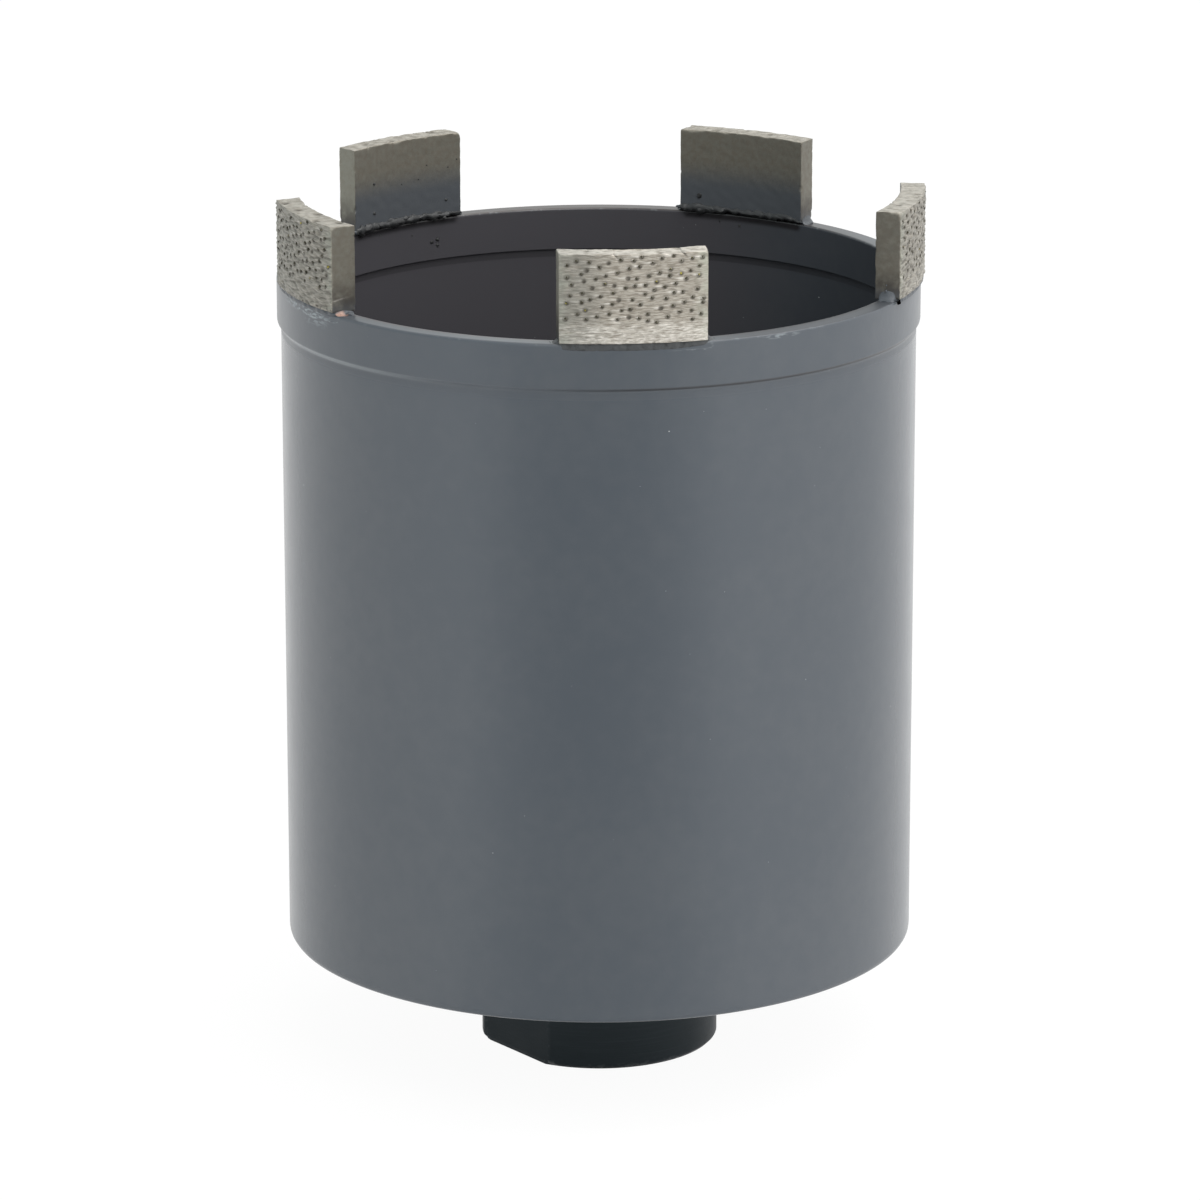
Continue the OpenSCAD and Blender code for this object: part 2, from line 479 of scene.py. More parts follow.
def painted_weld():
    """Weld: painted lumps with spots of soot, painted shade on the inner side, bare copper, and a
    pinhole painted black as its shade.
    """
    weld = Finish("painted_weld")
    spots = weld.fade(weld.noise(0.7, 3.0), 0.5, 0.7)
    spots = spots * (1 - weld.painted("copper").larger(weld.painted("clean")))
    # soot, with painted shade under the feet and on the inner side
    soot = (spots * 0.6).larger(weld.painted("soot"))
    colour = weld.mix(WELD_PAINT, PAINT, weld.painted("clean"))
    colour = weld.mix(colour, SOOT, soot * 0.9)
    colour = weld.mix(colour, COPPER, weld.painted("copper"))
    # the pinhole painted black, as its shade
    hole = weld.painted("hole")
    colour = weld.mix(colour, PINHOLE_BLACK, hole)
    relief = weld.bump(weld.noise(0.35, 3.0), 0.04)
    rough = 0.34 + 0.2 * weld.noise(0.8, 2.0) + 0.5 * hole
    return weld.coat(Base_Color=colour, Roughness=rough, Metallic=hole, Normal=relief)


def diamond():
    """Crystal: dark body, some yellow, with a sharp gloss on its facets."""
    stone = Finish("diamond")
    yellow = stone.fade(stone.noise(1.3, 1.0), 0.64, 0.74)
    colour = stone.mix(CRYSTAL, CRYSTAL_YELLOW, yellow)
    rough = 0.25 + 0.3 * stone.noise(0.4, 2.0)
    return stone.coat(Base_Color=colour, Roughness=rough, IOR=1.35)


WELD_FINISH = painted_weld()
DIAMOND_FINISH = diamond()
print("finishes:", sorted(material.name for material in bpy.data.materials))

# %% [markdown]
# ## Meshes from grids of points
# A turned part is a profile carried round the axis, and a swept part is an outline
# carried along a path. Both are grids of points, so one function numbers the faces of
# a grid, and one turns points and faces into a finished piece. It works out the volume
# that the faces enclose: if that is negative, they point inwards and are turned round.

# %% Grids and pieces
SHARP_ANGLE = math.radians(35)
MERGE_DISTANCE = 1e-8


def grid_faces(rows, columns, close_rows=True, close_columns=True):
    """Faces between neighbouring points of a grid. A closed way joins last to first."""
    numbers = np.arange(rows * columns).reshape(rows, columns)
    if close_rows:
        numbers = np.vstack([numbers, numbers[:1]])
    if close_columns:
        numbers = np.hstack([numbers, numbers[:, :1]])
    corners = numbers[:-1, :-1], numbers[:-1, 1:], numbers[1:, 1:], numbers[1:, :-1]
    return np.stack([corner.ravel() for corner in corners], 1)


def enclosed_volume(points, faces):
    """Volume inside the faces: the sum of the tetrahedra that they form with the origin."""
    first = points[faces[:, 0]]
    total = 0.0
    for second, third in zip(faces[:, 1:-1].T, faces[:, 2:].T):
        total += np.einsum("ij,ij->", first, np.cross(points[second], points[third])) / 6
    return total


def make_mesh(name, points, faces, values):
    """A mesh from points in millimetres, with one named value a point for each list."""
    mesh = bpy.data.meshes.new(name)
    mesh.from_pydata((points * MM).tolist(), [], faces.tolist())
    for label, numbers in values.items():
        attribute = mesh.attributes.new(label, "FLOAT", "POINT")
        attribute.data.foreach_set("value", np.asarray(numbers, np.float32).ravel())
    return mesh


def add_piece(name, points, faces, finish, slot, replaced=(), smooth=True, **values):
    """Adds a piece that rides on the tool's one body and stands for the named solids."""
    points = np.asarray(points, float).reshape(-1, 3)
    if enclosed_volume(points, faces) < 0:
        faces = faces[:, ::-1]
    mesh = make_mesh(name, points, faces, values)
    piece = bpy.data.objects.new(name, mesh)
    bpy.context.scene.collection.objects.link(piece)
    merge_doubles(mesh)
    if smooth:
        mesh.shade_smooth()
        mesh.set_sharp_from_angle(angle=SHARP_ANGLE)
    mesh.materials.append(finish)
    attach(piece, "root")
    if replaced:
        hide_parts(*replaced)
    print(f"{name}: {len(mesh.vertices)} points, {len(mesh.polygons)} faces")


# %% [markdown]
# Where a row of a grid shrinks to one point, as at the end of a bead, its faces have
# lost an edge. Merging the points that fall together closes the mesh there. Surfaces
# that look cast or torn get their lumps from waves that run in random directions: that
# is smooth, has no grid of its own, and two faces that share an edge stay joined.

# %% Merging and lumps
WAVE_COUNT = 20


def merge_doubles(mesh):
    """Joins the points that fall together, and drops the faces that vanish."""
    editable = bmesh.new()
    editable.from_mesh(mesh)
    bmesh.ops.remove_doubles(editable, verts=editable.verts, dist=MERGE_DISTANCE)
    editable.to_mesh(mesh)
    editable.free()


def lumps(points, size, seed):
    """Smooth random heights of about one size: a sum of waves of nearly the same
    length that run in random directions, scaled to a spread of 1."""
    random = np.random.default_rng(seed)
    ways = random.normal(size=(WAVE_COUNT, 3))
    ways /= np.linalg.norm(ways, axis=1, keepdims=True)
    turns = 2 * math.pi / (size * random.uniform(0.7, 1.6, WAVE_COUNT))
    phases = random.uniform(0, 2 * math.pi, WAVE_COUNT)
    total = np.zeros(points.shape[:-1])
    for way, turn, phase in zip(ways, turns, phases):
        total += np.sin(points @ way * turn + phase)
    return total * math.sqrt(2 / WAVE_COUNT)


def smooth_step(values, low, high):
    """0 at low and 1 at high, with a smooth rise between them."""
    share = np.clip((values - low) / (high - low), 0, 1)
    return share * share * (3 - 2 * share)


# %% [markdown]
# No corner of a real part is perfectly sharp, and the bright or dark line that a small
# radius shows is much of what makes a render look real. So a profile is given as its
# corners with a radius each, and every corner becomes a short curve. Long straight
# stretches are cut into steps where a surface will later be pushed about.

# %% Rounded profiles
CORNER_STEPS = 4
GUARD_REACH = 1.4


def rounded(corners, radii):
    """A closed outline with rounded corners. Near a corner it follows a quadratic
    curve between the two points that lie one radius away along its sides, with one
    more point a little before and after, so that the flats stay flat in the light."""
    corners = np.array(corners, float)
    outline = []
    for number, (corner, radius) in enumerate(zip(corners, radii)):
        if radius == 0:
            outline.append(corner)
            continue
        back = corners[number - 1] - corner
        ahead = corners[(number + 1) % len(corners)] - corner
        back *= radius / np.linalg.norm(back)
        ahead *= radius / np.linalg.norm(ahead)
        share = np.linspace(0, 1, CORNER_STEPS + 1)[:, None]
        outline.append(corner + GUARD_REACH * back)
        outline.extend(corner + back * (1 - share) ** 2 + ahead * share**2)
        outline.append(corner + GUARD_REACH * ahead)
    return np.array(outline)


def stepped(outline, longest):
    """The outline with its long stretches cut: longest gives the step at a place."""
    points = []
    for start, end in zip(outline, np.roll(outline, -1, axis=0)):
        middle = (start + end) / 2
        count = math.ceil(np.linalg.norm(end - start) / longest(*middle))
        points.extend(start + (end - start) * share for share in np.arange(count) / count)
    return np.array(points)


def turned(radius, height, angles):
    """Points at a radius and height at each angle from the front towards +X."""
    x = radius * np.sin(angles)
    y = -radius * np.cos(angles)
    return np.stack([x, y, np.broadcast_to(height, x.shape)], -1)


def full_turn(count):
    """Evenly spaced angles, once round the axis."""
    return np.linspace(0, 2 * math.pi, count, endpoint=False)[None, :]


# %% [markdown]
# ## Barrel tube
# The barrel is rolled thin-wall tube, faced off square at both ends. It is a closed
# profile turned round the axis. It is made with 480 steps, so that its outline, which
# runs most of the height of the picture, shows no corners, and the ring above it with
# 900, for its short coves. Rolled tube is never quite round either: a few hundredths of
# a millimetre of slow waviness moves the light on it. The waves sink the surface nearly
# everywhere, so that it keeps to the solid's outline.

# %% Barrel tube
TURN_STEPS = 480
RING_STEPS = 900
TUBE_STEP = 4
WAVINESS = 0.012
WAVE_LENGTH = 45
WAVE_SINK = 2
CORNER_REACH = 0.35
BORE_MARGIN = 0.1
INSIDE_MARGIN = 0.3
# Painted shade on the right of the bore.
BORE_GRIME = 0.35


def near_corner(outline, corners, reach):
    """1 at the given corners of an outline, fading to 0 at reach millimetres away."""
    gaps = np.linalg.norm(outline[:, None, :] - np.array(corners)[None], axis=2)
    return np.clip(1 - gaps.min(axis=1) / reach, 0, 1)


def in_bore(radius):
    """1 on the faces that look at the axis."""
    return radius < tube_bore_r + BORE_MARGIN


def bore_dirt(radius, angles):
    """Painted shade on the right of the bore, as a share."""
    return BORE_GRIME * in_bore(radius) * smooth_step(np.sin(angles), 0.2, 0.8)


def turned_piece(name, outline, edges, finish, slot, steps=TURN_STEPS, push=0, **values):
    """A turned part, pushed outwards by push, with paint that is thin at the given corners, and warm
    light painted on the inside, but for its right."""
    turn = full_turn(steps)
    points = turned(outline[:, :1], outline[:, 1:], turn)
    outward = np.stack([np.sin(turn), -np.cos(turn), 0 * turn], -1)
    move = push + WAVINESS * (lumps(points, WAVE_LENGTH, 3) - WAVE_SINK)
    points += outward * move[..., None]
    edge = np.repeat(near_corner(outline, edges, CORNER_REACH), steps)
    inner_side = outline[:, :1] < tube_bore_r + INSIDE_MARGIN
    # warm light painted on the bore, fading out at its right
    inside = inner_side * smooth_step(np.sin(turn), 0.8, 0.3)
    faces = grid_faces(len(outline), steps)
    values.update(edge=edge, inside=inside)
    add_piece(name, points, faces, finish, slot, [name], **values)


tube_corners = [
    (tube_bore_r, tube_end_z),
    (tube_r, tube_end_z),
    (tube_r, ring_z),
    (tube_bore_r, ring_z),
]
tube_radii = [0.15, 0.75, 0, 0]
tube_outline = stepped(rounded(tube_corners, tube_radii), lambda radius, height: TUBE_STEP)
turned_piece(
    "barrel_tube",
    tube_outline,
    tube_corners[1:2],
    PAINT_FINISH,
    "barrel_paint",
    # painted shade on the right of the bore
    grime=bore_dirt(tube_outline[:, :1], full_turn(TURN_STEPS)),
)

# %% [markdown]
# ## Where the segments stand
# The segments were welded by hand in a jig, so they are a little off their even places.
# The solids know this. The middle of a segment's reach round the axis is its angle, and
# everything below that belongs to a segment is built at the front and turned to it.

# %% Places of the segments
SEGMENTS = [1, 2, 3, 4, 5]
HALF_LENGTH = SEGMENT_LENGTH / 2


def segment_angle(number):
    """The middle of a segment's reach round the axis, from the front towards +X."""
    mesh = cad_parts[f"segment_{number}"].data
    places = np.empty(3 * len(mesh.vertices), np.float32)
    mesh.vertices.foreach_get("co", places)
    x, y, _ = places.reshape(-1, 3).T
    angles = np.arctan2(x, -y)
    return float(angles.min() + angles.max()) / 2


def arc_from(angles, centre, radius):
    """Distance along a circle from the centre angle, in millimetres, with its sign."""
    return radius * ((angles - centre + math.pi) % (2 * math.pi) - math.pi)


segment_angles = {number: segment_angle(number) for number in SEGMENTS}
print("segments at", [round(math.degrees(a), 1) for a in segment_angles.values()])

# %% [markdown]
# ## Carrier ring
# The ring is turned a little thicker than the tube on both sides, with a bevel outside
# and a step inside. Welding a segment on burns a cove into its outer face under the
# foot, hardly deeper than the paint. The cove is painted darker, partly as the burnt
# paint and partly as painted shade under the segment's foot. A cove is the part of a
# groove within a fixed distance of a short line, so its ends come out round by
# themselves. At its right end the molten metal was pushed up to a thin lip, which
# catches the light, and a lighter colour paints a highlight on it.

# %% Carrier ring
BAND_DEPTH = 5.5
BEVEL_HEIGHT = 0.5
COVE_DEPTH = 0.02
COVE_RADIUS = 0.62
COVE_BELOW_RIM = 0.28
COVE_ZONE = 1.4
COVE_STEP = 0.08
BORE_STEP = 0.15
PLAIN_STEP = 1.0
# How dark each cove is painted: burnt paint and painted shade.
COVE_HEAT = {1: 1.0, 2: 0.1, 3: 0.5, 4: 0.5, 5: 0.45}
LIP_WIDTH = 0.1
LIP_HEIGHT = 0.03
# Painted shadow under the inner step, and painted shade on the bevel and the rim's right front.
GRIME_HEIGHT = 0.95
STEP_GRIME = 0.38
BEVEL_GRIME = 0.8
RIM_GRIME = 0.35
BEADED_SEGMENTS = (3, 4)
FAR = 9.0
SCRAPES = [
    (-63.5, 100.4, 8.2, 0.75, 0.95),
    (-59, 99.6, 3.2, 0.7, 0.6),
    (33, 100.6, 3, 0.3, 0.6),
    (9, 96.1, 0.6, 0.25, 0.9),
    (12.5, 96.2, 1.0, 0.3, 0.9),
    (-5, 99.1, 0.2, 0.35, 1.0),
]

band_z = rim_z - BAND_DEPTH
ring_corners = [
    (tube_bore_r, ring_z),
    (tube_r, ring_z),
    (tube_r, band_z - BEVEL_HEIGHT),
    (ring_r, band_z),
    (ring_r, rim_z - COVE_ZONE),
    (ring_r, rim_z),
    (ring_bore_r, rim_z),
    (ring_bore_r, band_z),
    (tube_bore_r, band_z),
]
ring_radii = [0, 0, 0.3, 0.2, 0, 0.36, 0.26, 0.1, 0.1]


def ring_step(radius, height):
    """Short steps where the coves are melted in and under the inner step."""
    if radius > tube_r and height > rim_z - COVE_ZONE:
        return COVE_STEP
    return BORE_STEP if in_bore(radius) else PLAIN_STEP


def scraped(angles, height):
    """1 in the middle of a scrape and 0 outside its ellipse. A scrape is its angle in
    degrees, height, half length, half height and strength."""
    total = 0
    for turn, level, half_length, half_height, strength in SCRAPES:
        across = arc_from(angles, math.radians(turn), ring_r) / half_length
        up = (height - level) / half_height
        total = total + strength * np.clip(1 - across**2 - up**2, 0, 1)
    return np.clip(total, 0, 1)


def coves(angles, radius, height):
    """Distance into the coves under the segments, as a share of their radius, 1 at their right ends,
    where the molten metal was pushed up, and how dark they are painted: burnt paint, and painted
    shade under the feet."""
    nearest = np.full(np.broadcast_shapes(angles.shape, height.shape), np.inf)
    right_end = np.zeros_like(angles)
    burnt = np.zeros_like(nearest)
    for number, angle in segment_angles.items():
        along = arc_from(angles, angle, ring_r)
        past_end = np.clip(np.abs(along) - HALF_LENGTH, 0, None)
        below = height - (rim_z - COVE_BELOW_RIM)
        distance = np.hypot(past_end, below) / COVE_RADIUS
        nearest = np.minimum(nearest, distance)
        burnt = np.maximum(burnt, COVE_HEAT[number] * smooth_step(distance, 1.06, 0.94))
        from_end = np.abs(along - HALF_LENGTH - 0.5)
        right_end = np.maximum(right_end, smooth_step(from_end, 6.0, 1.5))
    outside = radius > tube_r + 0.2
    return np.where(outside, nearest, FAR), right_end, burnt * outside


def settled_dirt(angles, radius, height, outside, rim_front):
    """Painted shade on the ring: the shadow under the inner step, weaker at the right, and under the
    beads of the rear segments, then shade in a line on the bevel outside, on the rim's right front
    and on the right of the bore."""
    below_step = band_z - height
    under_step = smooth_step(below_step, 0, 0.45)
    under_step = under_step * smooth_step(below_step, GRIME_HEIGHT + 0.15, GRIME_HEIGHT)
    under_step = STEP_GRIME * under_step * (1 - 0.7 * smooth_step(np.sin(angles), 0.6, 0.95))
    under_beads = np.zeros_like(angles)
    for number in BEADED_SEGMENTS:
        along = np.abs(arc_from(angles, segment_angles[number], ring_r))
        under_this = smooth_step(along, HALF_LENGTH + 0.6, HALF_LENGTH - 0.4)
        under_beads = np.maximum(under_beads, under_this)
    under_beads = under_beads * smooth_step(rim_z - height, 1.2, 0.5)
    dirt = np.maximum(under_step, under_beads) * in_bore(radius)
    bevel_line = smooth_step(np.abs(height - band_z + 0.15), 0.22, 0.08) * outside
    dirt = dirt + BEVEL_GRIME * bevel_line * smooth_step(np.sin(angles), -0.3, 0.2)
    dirt = dirt + RIM_GRIME * rim_front
    return np.clip(dirt + bore_dirt(radius, angles), 0, 1)


ring_outline = stepped(rounded(ring_corners, ring_radii), ring_step)
turn = full_turn(RING_STEPS)
ring_radius, ring_height = ring_outline[:, :1], ring_outline[:, 1:]
into_cove, cove_end, burnt = coves(turn, ring_radius, ring_height)
dip = -COVE_DEPTH * np.clip(1 - into_cove**2, 0, 1)
lip = np.exp(-(((into_cove - 1.0 - LIP_WIDTH) / LIP_WIDTH) ** 2)) * cove_end
outside = ring_radius > tube_r - 0.1
on_top = ring_height > rim_z - 0.08
right_front = smooth_step(np.sin(turn), 0.25, 0.5) * smooth_step(np.cos(turn), 0, 0.4)
bevel = smooth_step(np.abs(ring_height - band_z + BEVEL_HEIGHT / 2), 0.34, 0.2) * outside
turned_piece(
    "collar_ring",
    ring_outline,
    ring_corners[5:7],
    PAINT_FINISH,
    "barrel_paint",
    steps=RING_STEPS,
    push=dip + LIP_HEIGHT * lip,
    # burnt paint and painted shade in the coves
    heat=burnt,
    # scrapes, and a painted highlight on the cove's lip
    scuff=np.clip(scraped(turn, ring_height) + 0.5 * lip, 0, 1),
    # painted highlight on the left of the bevel
    pale=0.35 * bevel * smooth_step(np.sin(turn), -0.4, -0.9),
    matt=np.maximum(0.25 * outside, on_top * (0.25 + 0.75 * right_front)),
    # the rim's top warmer and darker, most at the back
    rim=on_top * (0.1 + 0.9 * smooth_step(np.cos(turn), -0.3, -1)),
    # painted shadow and shade
    grime=settled_dirt(turn, ring_radius, ring_height, outside, on_top * right_front),
)

# %% [markdown]
# ## Base plate and the two ring welds
# The plate is a plain turned disc that closes the tube, a little way inside its end. A
# weld bead runs round it, and another round the hub. Each bead is a quarter-round
# outline carried round the axis, and the ripple that the moving weld pool leaves is a
# wave along the way round, pulled back in the middle, so that it makes crescents.

# %% Base plate and its welds
PLATE_GAP = 0.05
SPIGOT_R = 11.0
BEAD_STEPS = 720
RIPPLE_PITCH = 1.1
RIPPLE_DEPTH = 0.05
RIPPLE_BEND = 1.8
BEAD_POINTS = 14
BEAD_OVERLAP = 0.05
BEAD_WOBBLE = 0.05

plate_corners = [
    (SPIGOT_R + PLATE_GAP, plate_z),
    (tube_bore_r - PLATE_GAP, plate_z),
    (tube_bore_r - PLATE_GAP, plate_top_z),
    (SPIGOT_R + PLATE_GAP, plate_top_z),
]
plate_outline = rounded(plate_corners, [0, 0.2, 0.2, 0.2])
turned_piece("base_plate", plate_outline, plate_corners[1:2], PAINT_FINISH, "barrel_paint")


def ring_bead(name, corner_r, leg, outward):
    """A fillet weld under the plate: a quarter-round bead in the corner at corner_r."""
    bend = np.linspace(0, math.pi / 2, BEAD_POINTS)
    reach = leg * (0.52 + 0.48 * np.abs(np.cos(2 * bend)))
    radius = corner_r + outward * np.append(reach * np.cos(bend), -BEAD_OVERLAP)
    height = plate_z - np.append(reach * np.sin(bend), -BEAD_OVERLAP)
    turn = full_turn(BEAD_STEPS)
    across = np.append(np.sin(2 * bend), 0)[:, None]
    along = turn * corner_r / RIPPLE_PITCH * 2 * math.pi
    ripple = RIPPLE_DEPTH * across * np.cos(along + RIPPLE_BEND * across)
    points = turned(radius[:, None] + outward * ripple, height[:, None], turn)
    points[..., 2] -= ripple
    points[..., 2] -= BEAD_WOBBLE * across * lumps(points, 5, 8)
    faces = grid_faces(len(radius), BEAD_STEPS)
    add_piece(name, points, faces, WELD_FINISH, "painted_weld", [name])


ring_bead("plate_weld", tube_bore_r, 1.0, -1)
ring_bead("hub_weld", hub_r, 1.5, 1)

# %% [markdown]
# ## Threaded hub
# The hub is one turned part with two milled flats and a thread right through. All of
# it is one profile round the axis, but its radius also changes with the angle. A flat
# lies at a fixed distance, so there the radius is that distance over the cosine of the
# angle from its middle. The thread's groove climbs by one pitch a turn, so the groove
# profile is read at the height less the climb so far. A line of the hub's profile is a
# radius, a height, and how far the flats cut in there.

# %% Threaded hub
HUB_STEPS = 360
FLATS_ACROSS = 27.0
FLATS_HEIGHT = 10.0
FLATS_ANGLE = math.radians(-52)
HUB_BEVEL = 0.5
FLATS_BREAK = 0.12
THREAD_PITCH = 2.0
THREAD_R = 8.0
THREAD_CREST_R = 7.0
THREAD_STEP = 0.125


def flats_radius(angles):
    """How far out the wrench flats let the hub reach at each angle."""
    from_flat = (angles - FLATS_ANGLE + math.pi / 2) % math.pi - math.pi / 2
    return FLATS_ACROSS / 2 / np.maximum(np.cos(from_flat), 0.1)


def thread_radius(angles, height):
    """Right-handed thread: a 60 degree groove with flat root and crest, and a
    countersunk mouth."""
    climb = height / THREAD_PITCH - angles / (2 * math.pi)
    from_root = np.abs(climb % 1 - 0.5)
    groove = np.clip((from_root - 1 / 16) / (5 / 16), 0, 1)
    radius = THREAD_R - (THREAD_R - THREAD_CREST_R) * groove
    return np.maximum(radius, THREAD_R - height)


def hub_angles():
    """Even angles, with the two nearest to each flat's corner moved right onto it."""
    angles = full_turn(HUB_STEPS)[0]
    reach = math.acos(FLATS_ACROSS / 2 / hub_r)
    for middle in (FLATS_ANGLE, FLATS_ANGLE + math.pi):
        for corner in (middle - reach, middle + reach):
            angles[np.argmin(np.abs(arc_from(angles, corner, 1)))] = corner % (2 * math.pi)
    return angles[None, :]


turn = hub_angles()
hub_profile = [
    (THREAD_R + 0.2, 0, 1),
    (hub_r - HUB_BEVEL - 0.3, 0, 1),
    (hub_r - HUB_BEVEL - 0.08, 0, 1),
    (hub_r - HUB_BEVEL + 0.06, 0.06, 1),
    (hub_r - 0.06, HUB_BEVEL - 0.06, 1),
    (hub_r, HUB_BEVEL + 0.08, 1),
    (hub_r, HUB_BEVEL + 0.4, 1),
    (hub_r, FLATS_HEIGHT - 0.35, 1),
    (hub_r, FLATS_HEIGHT - 0.08, 1),
    (hub_r, FLATS_HEIGHT, 0.93),
    (hub_r, FLATS_HEIGHT + 0.01, 0),
    (hub_r, FLATS_HEIGHT + 0.3, 0),
    (hub_r, plate_z, 0),
    (SPIGOT_R, plate_z, 0),
    (SPIGOT_R, plate_top_z - 0.3, 0),
    (SPIGOT_R - 0.3, plate_top_z, 0),
    (THREAD_R + 0.2, plate_top_z, 0),
]
side_r, side_z, flattened = (np.array(column)[:, None] for column in zip(*hub_profile))
limited = np.minimum(side_r, flats_radius(turn) - FLATS_BREAK * (side_z < 0.2))
side_radius = side_r + (limited - side_r) * flattened
bore_z = np.arange(plate_top_z, -THREAD_STEP / 2, -THREAD_STEP)[:, None]
bore_z = np.clip(bore_z, 0, plate_top_z)
radius = np.vstack([side_radius, thread_radius(turn, bore_z)])
height = np.vstack([side_z, bore_z]) + 0 * turn
hub_points = turned(radius, height, turn + 0 * radius)
milled = flattened * (flats_radius(turn) < hub_r)
corner_distance = np.abs(radius - (hub_r - 0.2)) + np.abs(height - 0.2)
at_flat_corner = np.exp(-(((flats_radius(turn) - hub_r) / 0.5) ** 2))
hub_edge = np.clip(1 - corner_distance / 0.9, 0, 1) * (0.45 + 0.55 * at_flat_corner)
milled = np.vstack([milled, np.zeros_like(radius[len(milled) :])])
faces = grid_faces(len(radius), HUB_STEPS)
add_piece(
    "threaded_hub",
    hub_points,
    faces,
    OXIDE_FINISH,
    "hub_steel",
    ["threaded_hub"],
    edge=hub_edge,
    milled=milled,
)

# %% [markdown]
# ## A box with soft edges
# A segment is a block with small uneven edges, bent to the ring. The block starts as
# six grids that share their border points. Each point is then clamped into a smaller
# box, one edge radius inside, and set one radius off it: on a face that changes
# nothing, and near an edge it rounds. The radius may differ from place to place, so
# chips and worn corners are nothing but a larger radius there.

# %% Soft-edged blocks
EDGE = 0.14
ROW_STEP = 0.12


def rows(half, step):
    """Places from -half to half, closer together in the rounded edges, where each next
    one turns the surface by the same angle."""
    flat = half - EDGE
    middle = np.linspace(-flat, flat, math.ceil(2 * flat / step) + 1)
    bend = flat + EDGE * np.tan(np.radians([15, 30, 45]))
    return np.concatenate([-bend[::-1], middle, bend])


def box_surface(places):
    """Six grids over three lists of places. Points on two grids are made one point."""
    points = []
    faces = []
    start = 0
    for axis in range(3):
        across = places[(axis + 1) % 3]
        up = places[(axis + 2) % 3]
        for level, turned_round in ((places[axis][0], False), (places[axis][-1], True)):
            grid = np.empty((len(across), len(up), 3))
            grid[..., axis] = level
            grid[..., (axis + 1) % 3] = across[:, None]
            grid[..., (axis + 2) % 3] = up[None, :]
            quads = grid_faces(len(across), len(up), False, False)
            faces.append(start + (quads[:, ::-1] if turned_round else quads))
            points.append(grid.reshape(-1, 3))
            start += grid.shape[0] * grid.shape[1]
    shared, numbers = np.unique(np.round(np.vstack(points), 6), axis=0, return_inverse=True)
    return shared, numbers.ravel()[np.vstack(faces)]


def soften(points, half, edge):
    """The rounded box: its points, and the direction outwards at each."""
    inner = np.clip(points, -(half - edge), half - edge)
    outward = points - inner
    outward /= np.linalg.norm(outward, axis=1, keepdims=True)
    return inner + outward * edge, outward


# %% [markdown]
# ## Where the diamonds lie
# The diamonds are set through a stencil before pressing, so they lie in a slanting
# lattice of rows, 1.4 mm apart, and only shift a little. Some have broken out. The
# lattice stops short of the foot, which is plain metal for welding, and of the ends.
# The bit turns anticlockwise seen from above, and each diamond shelters the metal that
# follows it, so a ridge trails off from it to the left.

# %% Lattice of diamonds
STENCIL_ROW = np.array([1.33, 0.37])
STENCIL_COLUMN = np.array([0.30, 1.28])
TRAIL_LEVELS = (0.15, 1.1)
STENCIL_START = {1: (0.81, 4.94), 2: (0.3, 5.2), 3: (0.1, 5.4), 4: (0.7, 4.7), 5: (0.5, 5.0)}
DIAMOND_R = 0.24
DIAMOND_SHIFT = 0.17
DIAMOND_FOOT = 2.75
DIAMOND_END = 8.45
LOST_SHARE = 0.07


def lay_diamonds(number, top):
    """Places and radii of a segment's diamonds, the lengths and strengths of their
    trails, and which are lost. A place is a distance along and a height above the rim."""
    random = np.random.default_rng(number)
    steps = np.arange(-12, 13)
    across, up = np.meshgrid(steps, steps)
    across, up = across.reshape(-1, 1), up.reshape(-1, 1)
    places = np.array(STENCIL_START[number]) + across * STENCIL_ROW + up * STENCIL_COLUMN
    places += random.normal(0, DIAMOND_SHIFT, places.shape)
    inside = (np.abs(places[:, 0]) < DIAMOND_END) & (places[:, 1] > DIAMOND_FOOT)
    places = places[inside & (places[:, 1] < top - 0.25)]
    count = len(places)
    radii = DIAMOND_R * random.uniform(0.85, 1.15, count)
    trails = random.uniform(0.4, 2.0, count), random.uniform(*TRAIL_LEVELS, count)
    lost = random.random(count) < LOST_SHARE
    return places, radii, trails, lost


def trail_and_socket(along, up, places, radii, trails):
    """The ridge behind each diamond, which thins away from it, and the hollow round it, painted dark
    as its shade: darkest below it, where the diamond's shadow falls, and in the groove ahead. Both go
    from 0 to 1."""
    ridge = np.zeros_like(along)
    socket = np.zeros_like(along)
    for (across, level), radius, trail, strength in zip(places, radii, *trails):
        behind = (across - along) / trail
        off_line = (up - level - 0.04) / (0.42 * radius * (1.0 - 0.5 * np.clip(behind, 0, 1)))
        body = smooth_step(behind, 0.08, 0.2) * smooth_step(behind, 1, 0.4)
        ridge = np.maximum(ridge, strength * body * np.exp(-off_line**2))
        distance = np.hypot(along - across, up - level)
        lean = ((along - across) * 0.3 - (up - level) * 0.7) / np.maximum(distance, 0.05)
        ring = np.exp(-(((distance - radius) / 0.11) ** 2)) * np.clip(0.6 + 0.5 * lean, 0, 1)
        ahead = smooth_step(along - across, 0, 0.2) * smooth_step(along - across, 0.6 * trail, 0.2)
        groove = 0.5 * ahead * np.exp(-(((up - level) / 0.09) ** 2))
        socket = np.maximum(socket, np.maximum(ring, groove))
    return ridge, socket


# %% [markdown]
# ## Segment blocks
# Now the parts come together. The block's surface is lifted by the ridges, sunk by the
# sockets, and scored by the grinding, but only where it faces outwards: the direction
# at each point says how much. Chipped corners get a larger edge radius, and the foot of
# some reaches a little down over the weld. No two segments are equally worn or sprayed,
# and each gets its own painted shade and highlights, which follow how it faces the
# light, so each such value has one entry a segment. Every value that the finish needs
# is stored with the points, so colour and shape always agree. The last step bends the
# block to the ring and turns it to its place.

